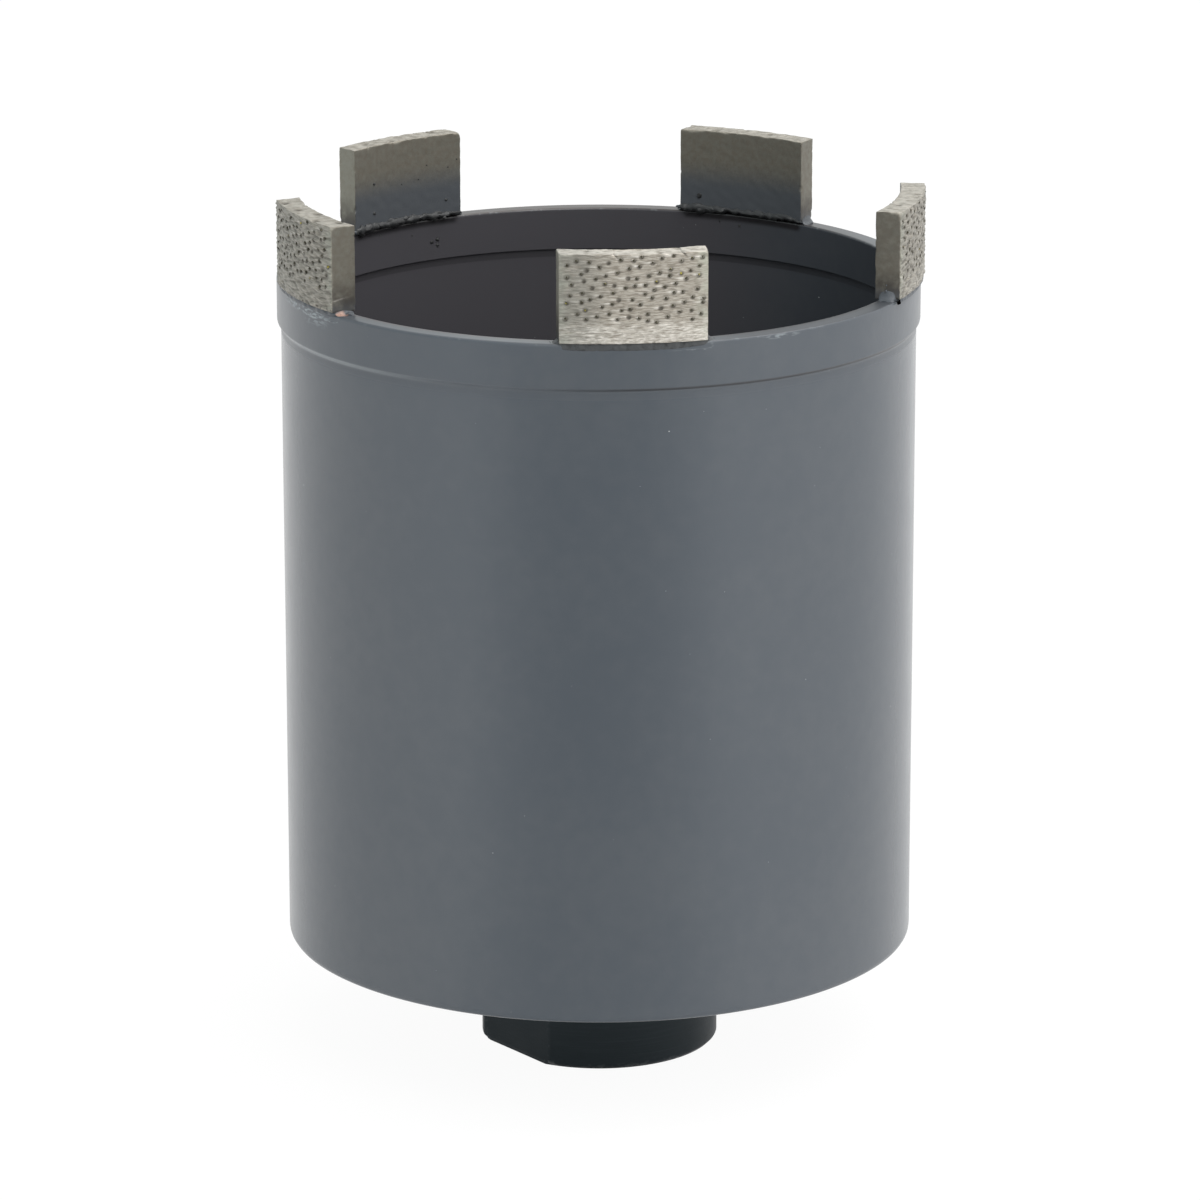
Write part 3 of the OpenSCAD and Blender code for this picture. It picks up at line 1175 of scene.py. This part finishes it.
# %% Segment blocks
DIAMONDS_STAND = 0.15
WALL_STEP = 0.2
RIDGE_HEIGHT = 0.03
SOCKET_DEPTH = 0.07
RELIEF_MARGIN = 0.01
# Painted shade for segments seen at a slant, and for the left end of segment 1.
DULLNESS = {1: 0.0, 2: 0.45, 3: 0.4, 4: 0.3, 5: 0.45}
DULL_END = {1: 0.5, 2: 0.0, 3: 0.0, 4: 0.0, 5: 0.0}
# Painted highlights along the foot and on the tip.
FOOT_SHINE = {1: 0.85, 2: 0.2, 3: 0.4, 4: 0.4, 5: 0.0}
TIP_SHINE = {1: 0.2, 2: 0.08, 3: 0.0, 4: 0.0, 5: 0.0}
END_TINT = {1: 0.3, 2: 0.0, 3: 0.05, 4: 0.6, 5: 0.0}
STEP_DOWN = {1: [(-2.4, 5.9, 0.13)], 2: [(-4, 1, 0.06)], 3: [], 4: [(-6, -1, 0.05)], 5: []}
CRACK_WIDTH = 0.1
CRACK_DEPTH = 0.15
STAIN_SHARE = {1: 0.0, 2: 0.3, 3: 0.1, 4: 0.0, 5: 0.12}
SCORE_FINENESS = {1: 2.2, 2: 1.1, 3: 2.2, 4: 2.2, 5: 1.3}
# Painted shade in the scored streaks of the segments seen at a slant.
STREAKS = {1: 0.0, 2: 0.4, 3: 0.0, 4: 0.0, 5: 0.4}
FOOT_SPECKS = {1: 0.0, 2: 0.7, 3: 0.3, 4: 0.3, 5: 0.9}
SCORE_DEPTH = {1: 0.012, 2: 0.055, 3: 0.012, 4: 0.012, 5: 0.05}
FOOT_DROP = {1: 0.25, 2: 0.25, 3: 0.0, 4: 0.0, 5: 0.1}
PIT_DEPTH = 0.22
PIT_SHARE = 0.8
TIP_ROUGHNESS = 0.02
SKIN_ROUGHNESS = 0.006
TIP_PIT_REACH = {1: 0.3, 2: 0.3, 3: 0.35, 4: 0.35, 5: 0.5}
THREAD_LEVEL = 1.7
THREAD_WIDTH = 0.1
SPRAY_TOP = {1: 7.5, 2: 7.6, 3: 7.8, 4: 8.2, 5: 7.4}
SPRAY_FULL = {1: 3.2, 2: 3.2, 3: 3.0, 4: 3.4, 5: 3.2}
CHIPS = {
    1: [(9.1, 1, 11.2, 0.35, 0.3), (-9, 1, 11.2, 0.3, 0.15)],
    2: [(-8.8, 1, 11.1, 0.8, 0.4), (3.5, 1, 11.1, 0.5, 0.35)],
    3: [(7.5, -1, 10.8, 1.2, 0.3), (2.8, -1, 10.8, 0.5, 0.25)],
    4: [(-8.9, -1, 11.1, 0.5, 0.35), (1, -1, 11.1, 0.7, 0.3)],
    5: [(8.9, 1, 11.0, 0.5, 0.35), (1.5, 1, 11.0, 0.6, 0.35), (-5, -1, 11.0, 0.6, 0.3)],
}
TIP_PITS = {
    1: [(-5.5, -0.4), (3.1, 0.6)],
    2: [(2.2, 0.9), (-4.4, -0.3)],
    3: [(4.4, -0.9), (-3, 0.2)],
    4: [(1.2, -0.7), (5.1, 0.2), (-6.2, 0.6)],
    5: [(4.6, 0.9), (1.0, -0.9), (-2.2, 0.3), (6.8, -0.8), (-6.5, 0.8)],
}
matrix_r = segment_r - DIAMONDS_STAND
middle_r = matrix_r - (SEGMENT_WALL - DIAMONDS_STAND) / 2


def to_ring(points, angle):
    """Block points on the tool. The length lies across the radius, so that the ends are
    parallel, and the thickness is measured as distance from the axis."""
    along = points[..., 0]
    radius = middle_r + points[..., 1]
    depth = np.sqrt(radius**2 - along**2)
    x = along * math.cos(angle) + depth * math.sin(angle)
    y = along * math.sin(angle) - depth * math.cos(angle)
    return np.stack([x, y, points[..., 2] + rim_z], -1)


def edge_radii(number, points, half):
    """The edge radius at each point: uneven all over, and larger at the chips. A chip
    is its place along, its side, its height, its reach and its size."""
    edge = EDGE * (1 + 0.25 * lumps(points, 1.6, number))
    edge += 0.25 * np.clip(lumps(points, 1.1, 20 + number) - 1.3, 0, 1)
    for along, side, level, reach, size in CHIPS[number]:
        corner = np.array([along, side * half[1], level])
        edge += size * np.exp(-((np.linalg.norm(points - corner, axis=1) / reach) ** 2))
    return np.clip(edge, 0.04, 0.7)[:, None]


def torn_tip(number, along, below_top):
    """How far a piece of the tip's burr has broken down, from start to stop, and the
    slanting cracks at its two ends, which run a little way down the outer face."""
    broken = np.zeros_like(along)
    cracks = np.zeros_like(along)
    for start, stop, depth in STEP_DOWN[number]:
        after_start = smooth_step(along, start, start + 0.15)
        broken += depth * after_start * smooth_step(along, stop, stop - 0.15)
        for place in (start, stop):
            off_line = (along - place - 0.7 * below_top) / CRACK_WIDTH
            cracks = np.maximum(cracks, np.exp(-(off_line**2)) * smooth_step(below_top, 0.7, 0.4))
    return broken, cracks


def bells(points, places, reach):
    """1 at each place, falling off round it like a bell of that reach."""
    total = np.zeros(len(points))
    for place, size in zip(places, np.broadcast_to(reach, len(places))):
        distance = np.hypot(*(points - place).T)
        total = np.maximum(total, np.exp(-((distance / size) ** 2)))
    return total


def outer_marks(number, block, top, foot):
    """Ridges, painted shade and relief of the outer face. The shade is painted in the sockets, in the
    pits of lost diamonds and in the streaks along the turn, and specks darken the foot."""
    along, _, up = block.T
    places, radii, trails, lost = lay_diamonds(number, top)
    ridge, socket = trail_and_socket(along, up, places, radii, trails)
    pits = PIT_SHARE * bells(block[:, [0, 2]], places[lost], 0.7 * radii[lost])
    scored = lumps(block * (0.3, 1, SCORE_FINENESS[number]), 0.55, 40 + number)
    relief = RIDGE_HEIGHT * ridge - SOCKET_DEPTH * socket - PIT_DEPTH * pits
    relief = np.minimum(relief + SCORE_DEPTH[number] * scored, DIAMONDS_STAND - RELIEF_MARGIN)
    streaks = STREAKS[number] * smooth_step(scored, -0.2, -1.1)
    streaks *= smooth_step(up, top - 0.3, top - 1.2)
    specks = smooth_step(up + 0.2 * lumps(block, 0.5, 70 + number), foot + 0.3, foot + 0.1)
    specks *= FOOT_SPECKS[number] * smooth_step(lumps(block, 0.7, 90 + number), -0.3, 0.5)
    dark = np.clip(np.maximum(socket, np.maximum(specks, streaks)) + pits, 0, 1)
    return ridge, dark, relief


def bright_thread(number, block, half_wall):
    """The thin bright line across the right end of segment 5, a little above the foot."""
    along, across, up = block.T
    off_line = up - THREAD_LEVEL - 0.2 * (half_wall - across)
    thread = np.exp(-((off_line / THREAD_WIDTH) ** 2)) * smooth_step(across, -1.2, 0.4)
    return thread * 0.7 * (number == 5) * (along > 0)


def segment_block(number):
    """One segment: soft-edged block, surface relief, values for the finish."""
    low, high = box_mm(f"segment_{number}")
    top = high[2] - rim_z
    foot = low[2] - rim_z - FOOT_DROP[number]
    half = np.array([HALF_LENGTH, (SEGMENT_WALL - DIAMONDS_STAND) / 2, (top - foot) / 2])
    centre = np.array([0, 0, (top + foot) / 2])
    steps = (ROW_STEP, WALL_STEP, ROW_STEP)
    flat, faces = box_surface([rows(size, step) for size, step in zip(half, steps)])
    block, outward = soften(flat, half, edge_radii(number, flat + centre, half))
    block += centre
    along, across, up = block.T
    faces_out = np.clip(outward[:, 1], 0, 1) ** 2
    faces_up = np.clip(outward[:, 2], 0, 1) ** 2
    faces_in = np.clip(-outward[:, 1], 0, 1) ** 2
    faces_end = outward[:, 0] ** 2
    ridge, dark, relief = outer_marks(number, block, top, foot)
    tip_pits = bells(block[:, :2], TIP_PITS[number], TIP_PIT_REACH[number])
    broken, cracks = torn_tip(number, along, top - up)
    cracks = cracks * np.clip(faces_up + faces_out, 0, 1) * smooth_step(across, 0.5, 1.0)
    ragged = up + 0.25 * lumps(block, 1.3, 30 + number)
    foot_band = 1 - smooth_step(ragged, DIAMOND_FOOT - 0.9, DIAMOND_FOOT + 0.5)
    push = faces_out * relief - faces_up * PIT_DEPTH * tip_pits
    push -= faces_up * TIP_ROUGHNESS * (1 + lumps(block, 1.2, 60 + number))
    push -= faces_up * broken + CRACK_DEPTH * cracks
    push += (faces_in + faces_end) * SKIN_ROUGHNESS * lumps(block, 1.4, 80 + number)
    block += outward * push[:, None]
    block[:, 2] = np.minimum(block[:, 2], top)
    along, _, up = block.T
    drift_in = (SPRAY_TOP[number] - up) / (SPRAY_TOP[number] - SPRAY_FULL[number])
    drift_in = np.clip(drift_in, 0, 1) * faces_in
    drift_end = 0.5 * smooth_step(up, 2.6, 0.6) * faces_end
    thread = bright_thread(number, block, half[1]) * faces_end
    # painted shade by segment, and at segment 1's left end
    dull = DULLNESS[number] + DULL_END[number] * smooth_step(along, -2, -7)
    # painted highlight along the foot, weaker to the left
    foot_shine = FOOT_SHINE[number] * foot_band * (1 - 0.6 * smooth_step(along, -4, -8))
    add_piece(
        f"segment_{number}",
        to_ring(block, segment_angles[number]),
        faces,
        SINTERED_FINISH,
        "sintered_metal",
        [f"segment_{number}"],
        dressed=np.clip(faces_out + faces_up + thread, 0, 1),
        # ridges, weaker on segments seen at a slant as painted shade, and painted highlights on the
        # tips
        ridge=ridge * faces_out * (1 - 1.3 * dull) + TIP_SHINE[number] * faces_up + thread,
        # painted shade in sockets, pits, cracks and streaks, and specks at the foot
        socket=dark * faces_out + tip_pits * faces_up + 0.8 * cracks,
        spray=np.clip(drift_in + drift_end, 0, 1),
        stain=np.maximum(0.9 * smooth_step(up, 5.5, 1.0), STAIN_SHARE[number]) * faces_end,
        dull=dull * (faces_out + 0.7 * faces_up),
        end=smooth_step(np.abs(along), 6.9, 8.7) * faces_out + END_TINT[number] * faces_end,
        foot=foot_shine * faces_out,
    )


for number in SEGMENTS:
    segment_block(number)

# %% [markdown]
# ## Diamonds
# A grown diamond is a cube and an octahedron cut into each other. The twelve corners of
# a cuboctahedron are enough for one that is half a millimetre across: twenty triangles
# each, a few thousand in all. One form is made with a convex hull, then all of a
# segment's crystals are copies of it, each with a size and a turn of its own, worked
# out at once as whole arrays. They are sunk so deep that their tips reach the segment's
# full radius and no further.

# %% Diamonds
TIP_DIAMOND_R = 0.2
TIP_DIAMOND_DEPTH = 0.3


def crystal_form():
    """Corners and triangles of a cuboctahedron that is one unit in radius."""
    signs = (-1, 1)
    corners = [
        np.roll((first, second, 0), shift) / math.sqrt(2)
        for shift in range(3)
        for first in signs
        for second in signs
    ]
    editable = bmesh.new()
    for corner in corners:
        editable.verts.new(corner)
    bmesh.ops.convex_hull(editable, input=editable.verts)
    bmesh.ops.triangulate(editable, faces=editable.faces)
    editable.verts.index_update()
    triangles = [[corner.index for corner in face.verts] for face in editable.faces]
    corners = np.array([corner.co for corner in editable.verts])
    editable.free()
    return corners, np.array(triangles)


def random_turns(count, random):
    """Random rotations: two random directions squared up, and the third from both."""
    first = random.normal(size=(count, 3))
    first /= np.linalg.norm(first, axis=1, keepdims=True)
    second = np.cross(first, random.normal(size=(count, 3)))
    second /= np.linalg.norm(second, axis=1, keepdims=True)
    return np.stack([first, second, np.cross(first, second)], 1)


def segment_grit(number, form, triangles):
    """All diamonds of a segment as one piece: on its outer face and on its tip."""
    random = np.random.default_rng(100 + number)
    top = box_mm(f"segment_{number}")[1][2] - rim_z
    places, radii, _, lost = lay_diamonds(number, top)
    places, radii = places[~lost], radii[~lost]
    depth = segment_r - middle_r - radii * random.uniform(1.0, 1.12, len(radii))
    centres = np.stack([places[:, 0], depth, places[:, 1]], 1)
    tips = np.array(TIP_PITS[number][::2], float)
    tip_centres = np.column_stack([tips, np.full(len(tips), top - TIP_DIAMOND_DEPTH)])
    centres = np.vstack([centres, tip_centres])
    radii = np.append(radii, np.full(len(tips), TIP_DIAMOND_R))
    stretch = random.uniform(0.8, 1.0, (len(radii), 3)) * radii[:, None]
    turns = random_turns(len(radii), random)
    corners = np.einsum("nij,nkj->nki", turns, form[None] * stretch[:, None])
    points = (corners + centres[:, None]).reshape(-1, 3)
    first_corners = np.arange(len(radii))[:, None, None] * len(form)
    faces = (triangles[None] + first_corners).reshape(-1, 3)
    add_piece(
        f"diamonds_{number}",
        to_ring(points, segment_angles[number]),
        faces,
        DIAMOND_FINISH,
        "sintered_metal",
        smooth=False,
    )


form, triangles = crystal_form()
for number in SEGMENTS:
    segment_grit(number, form, triangles)

# %% [markdown]
# ## Weld seams
# Under each segment lies a thin seam, and at each end it climbs the end face in a
# hollow fillet. It is one outline carried along the rim: a rectangle with round corners
# whose top, inner and outer limits change on the way, and which grows rounder past the
# ends. Molten metal also oozed from the joint and froze as lumpy beads along the foot,
# on the inside, and a few drops landed near by. A bead is a round outline carried along
# the foot, thick and thin by turns, and a drop is a squashed ball. The weld of segment
# 2 has a pinhole at its left end, painted black as its shade. On the inner side the
# weld metal is painted darker as shade, darkest under the foot, and the drops carry
# soot besides. All of a segment's weld metal is one piece.

# %% Weld seams
SEAM_TOE = 0.9
SEAM_CLIMBS = {1: (0.5, 0.9), 2: (1.15, 1.0), 3: (1.4, 0.9), 4: (1.2, 1.0), 5: (1.0, 0.7)}
SEAM_SINK = {1: 0.85, 2: 0.5, 3: 0.35, 4: 0.35, 5: 0.35}
SEAM_CLEAN = {1: 0.0, 2: 0.8, 3: 0.6, 4: 0.6, 5: 0.7}
SEAM_INSET = 0.1
SEAM_INNER_INSET = 0.75
SEAM_OUT = {1: 0.08, 2: 0.22, 3: 0.2, 4: 0.2, 5: 0.15}
PINHOLE = (-9.0, 1.45, -0.15)
PINHOLE_R = 0.42
SEAM_COLUMNS = 36
FLAT_POINTS = 90
TOE_POINTS = 16
FOOT_BEAD_STEP = 0.14
FOOT_BEAD_COLUMNS = 12
DROP_ROWS = 9
DROP_COLUMNS = 14
# Painted shade on the inner side, and extra soot on the drops.
BEAD_SOOT = 0.62
SPATTER_SOOT = 0.28
COPPER_SHARE = 0.65
SQUARENESS = 0.45
TOE_ROUNDNESS = 0.8
BEADS = {
    1: [(-9.0, 9.0, 0.2, 0.18)],
    2: [(-9.0, 9.0, 0.2, 0.2)],
    3: [(-9.2, 9.1, 0.05, 0.45), (4.2, 9.6, 0.1, 0.52), (-7.5, -1.5, 0.3, 0.3)],
    4: [(-9.2, 9.2, 0.05, 0.46), (-6.4, 3.4, 0.3, 0.34), (4.4, 9.4, 0.1, 0.55)],
    5: [(-9.0, 9.0, 0.2, 0.2)],
}
DROPS = {
    1: [(4.1, -1, 2.2, 0.18), (-7.2, -1, 3.0, 0.14)],
    2: [(-3.3, -1, 1.9, 0.2), (-9.35, 0, 1.3, 0.13), (-9.3, 0, 2.0, 0.1), (-9.0, 0.95, -0.15, 0.28)],
    3: [(6.38, -1, 2.19, 0.33), (0.8, -1, -1.4, 0.2), (3.7, -1, -1.0, 0.16)],
    4: [
        (5.2, -1, 6.1, 0.18),
        (5.2, -1, 2.25, 0.22),
        (-3.9, -1, 7.3, 0.1),
        (-2.6, -1, 5.6, 0.11),
        (0.2, -1, 5.3, 0.1),
        (-8.4, -1, 7.6, 0.1),
        (-7.1, -1, 6.7, 0.1),
        (-6.8, -1, 2.35, 0.19),
        (-6.3, -1.25, 0.1, 0.26),
        (-4.8, -1, -3.1, 0.27),
        (-5.7, -1, -2.8, 0.29),
        (-5.7, -1, -3.6, 0.22),
        (3.9, -1, -0.95, 0.14),
        (-1.7, -1, -1.8, 0.14),
    ],
    5: [(-5.2, -1, 2.4, 0.16), (2.7, -1, 3.3, 0.12)],
}
foot = foot_z - rim_z


def uneven(along, size, seed):
    """Smooth random heights at places along the rim."""
    return lumps(np.stack([along, 0 * along, 0 * along], 1), size, seed)


def carried(along, across, up):
    """The points of one outline a place, carried along the rim."""
    return np.stack([np.broadcast_to(along[:, None], across.shape), across, up], -1)


def seam_body(number):
    """The seam: a squarish outline whose limits change along the rim."""
    end = HALF_LENGTH + SEAM_TOE
    flat = np.linspace(-HALF_LENGTH + 0.3, HALF_LENGTH - 0.3, FLAT_POINTS)
    toe = HALF_LENGTH + np.linspace(-0.2, SEAM_TOE, TOE_POINTS)
    along = np.concatenate([-toe[::-1], flat, toe])
    past_end = np.clip((np.abs(along) - HALF_LENGTH) / SEAM_TOE, 0, 1)
    climb = np.where(along < 0, *SEAM_CLIMBS[number])
    hollow = climb * (1 - np.sqrt(1 - (1 - past_end) ** 2)) * (np.abs(along) >= HALF_LENGTH)
    rough = uneven(along, 2.4, 5 * number)
    high = np.where(hollow > 0, hollow * (1 + 0.2 * rough) + 0.04, foot + 0.06)
    under = smooth_step(np.abs(along), HALF_LENGTH, HALF_LENGTH - 0.6)
    inset = SEAM_INSET + (SEAM_INNER_INSET - SEAM_INSET) * under
    inner = ring_bore_r + inset + 0.08 * rough - middle_r
    outer_inset = SEAM_INSET - (SEAM_INSET + SEAM_OUT[number]) * under
    outer = ring_r - outer_inset - 0.04 * rough - middle_r
    narrow = np.sqrt(np.clip(1 - (np.abs(along) / (end + 0.02)) ** 40, 0, 1))
    bend = full_turn(SEAM_COLUMNS)
    round_end = smooth_step(np.abs(along), HALF_LENGTH - 0.4, HALF_LENGTH)
    power = (SQUARENESS + (TOE_ROUNDNESS - SQUARENESS) * round_end)[:, None]
    squared = [np.sign(part) * np.abs(part) ** power for part in (np.cos(bend), np.sin(bend))]
    across = ((inner + outer) / 2)[:, None] + ((outer - inner) / 2 * narrow)[:, None] * squared[0]
    taper = 1 - 0.35 * smooth_step(np.abs(along + 0.8), 5.5, 9.8)
    sink = SEAM_SINK[number] * taper * (1 + 0.06 * rough)
    middle = ((high - sink) / 2)[:, None]
    up = middle + ((high + sink) / 2 * narrow)[:, None] * squared[1]
    points = carried(along, across, up)
    points += 0.03 * lumps(points, 0.8, 7 * number)[..., None]
    return closed_ends(points)


def closed_ends(points):
    """A tube of outlines with its two ends drawn together to a point each."""
    first = np.broadcast_to(points[0].mean(axis=0), points[:1].shape)
    last = np.broadcast_to(points[-1].mean(axis=0), points[:1].shape)
    points = np.concatenate([first, points, last])
    faces = grid_faces(points.shape[0], points.shape[1], False, True)
    return points.reshape(-1, 3), faces


def foot_bead(start, stop, level, radius, seed):
    """A lumpy bead on the inner face from start to stop, at a level above the foot."""
    count = math.ceil((stop - start) / FOOT_BEAD_STEP)
    along = np.linspace(start, stop, count)
    taper = np.sqrt(np.clip(1 - np.linspace(-1, 1, count) ** 4, 0.001, 1))
    thick = radius * taper * np.clip(1 + 0.18 * uneven(along, 1.3, seed), 0.5, 1.6)
    wander = 0.05 * uneven(along, 3, seed + 1)
    bend = full_turn(FOOT_BEAD_COLUMNS)
    face = -(SEGMENT_WALL - DIAMONDS_STAND) / 2
    across = face + 0.75 * thick[:, None] * np.cos(bend)
    up = (foot + level + wander)[:, None] + thick[:, None] * np.sin(bend)
    points = carried(along, across, up)
    points += 0.11 * radius * lumps(points, 1.0, seed + 2)[..., None]
    return closed_ends(points)


def drop(along, side, level, radius):
    """A drop of metal: a flattened ball. Its side is -1 on the segment's inner face
    and 1 on the outer, and between them on its ends. Low down it sits on the bore."""
    bend = np.linspace(0, math.pi, DROP_ROWS)[1:-1, None]
    round_it = full_turn(DROP_COLUMNS)
    ring_face = ring_bore_r - middle_r
    face = (SEGMENT_WALL - DIAMONDS_STAND) / 2 * side if level > -0.5 else ring_face
    x = along + radius * np.cos(bend) + 0 * round_it
    y = face + 0.7 * radius * np.sin(bend) * np.cos(round_it)
    z = level + radius * np.sin(bend) * np.sin(round_it)
    points, faces = closed_ends(np.stack([x, y, z], -1))
    return points + 0.12 * radius * lumps(points, 1.2 * radius, 9)[:, None], faces


def joined(parts):
    """Several closed shells as one list of points and one of faces."""
    starts = np.cumsum([0] + [len(points) for points, _ in parts])
    faces = [numbers + start for (_, numbers), start in zip(parts, starts)]
    return np.vstack([points for points, _ in parts]), np.vstack(faces)


def weld_metal(number):
    """All weld metal of one segment."""
    parts = [seam_body(number)]
    parts += [foot_bead(*bead, 11 * number + i) for i, bead in enumerate(BEADS[number])]
    parts += [drop(*where) for where in DROPS[number]]
    points, faces = joined([outwards(*part) for part in parts])
    at_end = np.abs(points[:, 0]) - HALF_LENGTH
    # painted shade under the foot
    under_foot = smooth_step(points[:, 2], foot + 0.3, foot - 0.05)
    under_foot = under_foot * smooth_step(at_end, 0.1, -0.1)
    spatter = (points[:, 2] > 1.2) | (points[:, 2] < -0.5)
    # soot and painted shade on the inner side
    soot = np.maximum(under_foot, BEAD_SOOT + SPATTER_SOOT * spatter) * (points[:, 1] < 0)
    clean = SEAM_CLEAN[number] * np.maximum(points[:, 1] > 0, at_end > 0)
    from_hole = np.linalg.norm(points - PINHOLE, axis=1)
    # the pinhole is painted black as its shade
    pinhole = (number == 2) * smooth_step(from_hole, PINHOLE_R + 0.1, PINHOLE_R - 0.1)
    copper = (number == 5) * smooth_step(at_end, -0.05, 0.2) * (points[:, 0] > 0)
    copper = copper * smooth_step(points[:, 1], -0.1, 0.4)
    add_piece(
        f"segment_weld_{number}",
        to_ring(points, segment_angles[number]),
        faces,
        WELD_FINISH,
        "painted_weld",
        [f"segment_weld_{number}"],
        soot=soot * (at_end < 0),
        clean=clean,
        hole=pinhole,
        copper=COPPER_SHARE * copper,
    )


def outwards(points, faces):
    """The same shell with its faces pointing outwards."""
    return points, faces if enclosed_volume(points, faces) > 0 else faces[:, ::-1]


for number in SEGMENTS:
    weld_metal(number)

# %% [markdown]
# ## Studio
# The tool was photographed on white, under broad soft light. A pale floor catches its
# shadow. To the camera and in reflections the floor is mostly plain white, which a
# mix with emission gives; for all other light it is a matt white surface, so that it
# lights the tool from below as a real one would.

# %% Floor
FLOOR_HALF = 4.0
FLOOR_COLOUR = tone(236, 236, 236)
FLOOR_WHITE_SHARE = 0.93
FLOOR_LEVEL = 1.02
FLOOR_BACK_GAIN = 0.11
SHADE_SLOPES = (1.1, 0.1)
SHADE_REACH = (-0.35, 0.36)


def seen_directly(nodes):
    """1 for rays from the camera, in reflections and through glass, and 0 for others."""
    seen = nodes.add("ShaderNodeLightPath", None, None, "Is Camera Ray")
    for kind in ("Is Glossy Ray", "Is Transmission Ray"):
        seen = seen.larger(nodes.add("ShaderNodeLightPath", None, None, kind))
    return seen


def floor_finish():
    """Matt white, and for direct views mostly plain white light. In reflections it is
    dimmer straight in front, where the photographer stands in the light, and a little
    brighter behind the tool."""
    floor = Finish("floor")
    floor.coat(Base_Color=FLOOR_COLOUR, Roughness=0.9, Specular_IOR_Level=0.0)
    x, y = (floor.add("ShaderNodeSeparateXYZ", None, {0: floor.place}, axis) for axis in "XY")
    ahead = y * -1
    aside = x.maths("DIVIDE", x.larger(x * -1), ahead.larger(0.01))
    mirrored = floor.add("ShaderNodeLightPath", None, None, "Is Glossy Ray")
    dimmed = floor.fade(aside, *SHADE_SLOPES) * floor.fade(ahead, *SHADE_REACH) * mirrored
    behind = floor.fade(y, 0.0, 0.3) * mirrored
    strength = FLOOR_LEVEL * (1 - dimmed) + FLOOR_BACK_GAIN * behind
    white = floor.add("ShaderNodeEmission", None, {"Strength": strength}, "Emission")
    inputs = {0: seen_directly(floor) * FLOOR_WHITE_SHARE, 2: white}
    mixed = floor.add("ShaderNodeMixShader", None, inputs, "Shader")
    floor.tree.links.new(floor.shader.outputs[0], mixed.socket.node.inputs[1])
    output = floor.tree.nodes["Material Output"]
    floor.feed(output.inputs["Surface"], mixed)
    return floor.material


floor_mesh = bpy.data.meshes.new("floor")
floor_corners = [(-1, -1, 0), (1, -1, 0), (1, 1, 0), (-1, 1, 0)]
floor_points = [tuple(FLOOR_HALF * part for part in corner) for corner in floor_corners]
floor_mesh.from_pydata(floor_points, [], [(0, 1, 2, 3)])
floor = bpy.data.objects.new("floor", floor_mesh)
floor.data.materials.append(floor_finish())
bpy.context.scene.collection.objects.link(floor)
floor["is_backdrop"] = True

# %% [markdown]
# The world stands for the white studio round the tool. To the camera it is plain
# white. As a light it is dimmer in front and brighter and warmer on the right, because
# the photograph's right side is the brighter. Two large lamps give the soft direction
# that an even room lacks: one overhead, which brightens the tips and the rim, and one
# high in front, for the faces that look at the camera.

# %% World and lamps
ROOM_LEVEL = 0.9
ROOM_FRONT_LOSS = 0.12
ROOM_RIGHT_GAIN = 0.26
COOL = (0.92, 1.0, 1.0, 1.0)
WARM = (1.0, 0.985, 0.97, 1.0)
WHITE = (1.0, 1.0, 1.0, 1.0)
LAMPS = {"overhead": ((0.3, 0.1, 0.85), 0.7, 4.0), "front": ((0.2, -0.65, 0.7), 0.6, 4.0)}
AIM_HEIGHT = 0.07

world = bpy.data.worlds.new("studio")
bpy.context.scene.world = world
world.use_nodes = True
studio = Nodes(world.node_tree)
direction = studio.add("ShaderNodeTexCoord", None, None, "Generated")
rightward = studio.add("ShaderNodeSeparateXYZ", None, {0: direction}, "X")
backward = studio.add("ShaderNodeSeparateXYZ", None, {0: direction}, "Y")
front = studio.add("ShaderNodeMapRange", None, {"Value": backward, "From Min": 0, "From Max": -1})
room = ROOM_LEVEL * (1 - ROOM_FRONT_LOSS * front) + ROOM_RIGHT_GAIN * rightward
seen = studio.add("ShaderNodeLightPath", None, None, "Is Camera Ray")
blend = {"data_type": "RGBA"}
tint = studio.add("ShaderNodeMix", blend, {0: 0.5 + 0.5 * rightward, 6: COOL, 7: WARM}, 2)
tint = studio.add("ShaderNodeMix", blend, {0: seen, 6: tint, 7: WHITE}, 2)
background = world.node_tree.nodes["Background"]
studio.feed(background.inputs["Color"], tint)
studio.feed(background.inputs["Strength"], room + (1 - room) * seen)


def soft_lamp(name, place, size, power):
    """A square lamp of that size in metres and power in watts, facing the tool."""
    lamp = bpy.data.objects.new(name, bpy.data.lights.new(name, "AREA"))
    lamp.data.size = size
    lamp.data.energy = power
    lamp.data.color = WARM[:3]
    bpy.context.scene.collection.objects.link(lamp)
    away = Matrix.Translation(place).translation
    away.z -= AIM_HEIGHT
    turn = away.to_track_quat("Z", "Y").to_matrix().to_4x4()
    lamp.matrix_world = Matrix.Translation(place) @ turn


for name, settings in LAMPS.items():
    soft_lamp(name, *settings)

# %% [markdown]
# ## Finish
# The view stays on the Standard transform, so that colours come out as written. The two boxes, of the
# solids and of the tool as shown, are printed. The tool as shown must stay inside the solids' box.

# %% Print the size and finish
bpy.context.scene.view_settings.view_transform = "Standard"
shown_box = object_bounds()
sizes = {"cad": [list(corner) for corner in cad_box], "shown": [list(corner) for corner in shown_box]}
for name, corners in sizes.items():
    print(name, "box in mm:", [[round(part / MM, 2) for part in corner] for corner in corners])
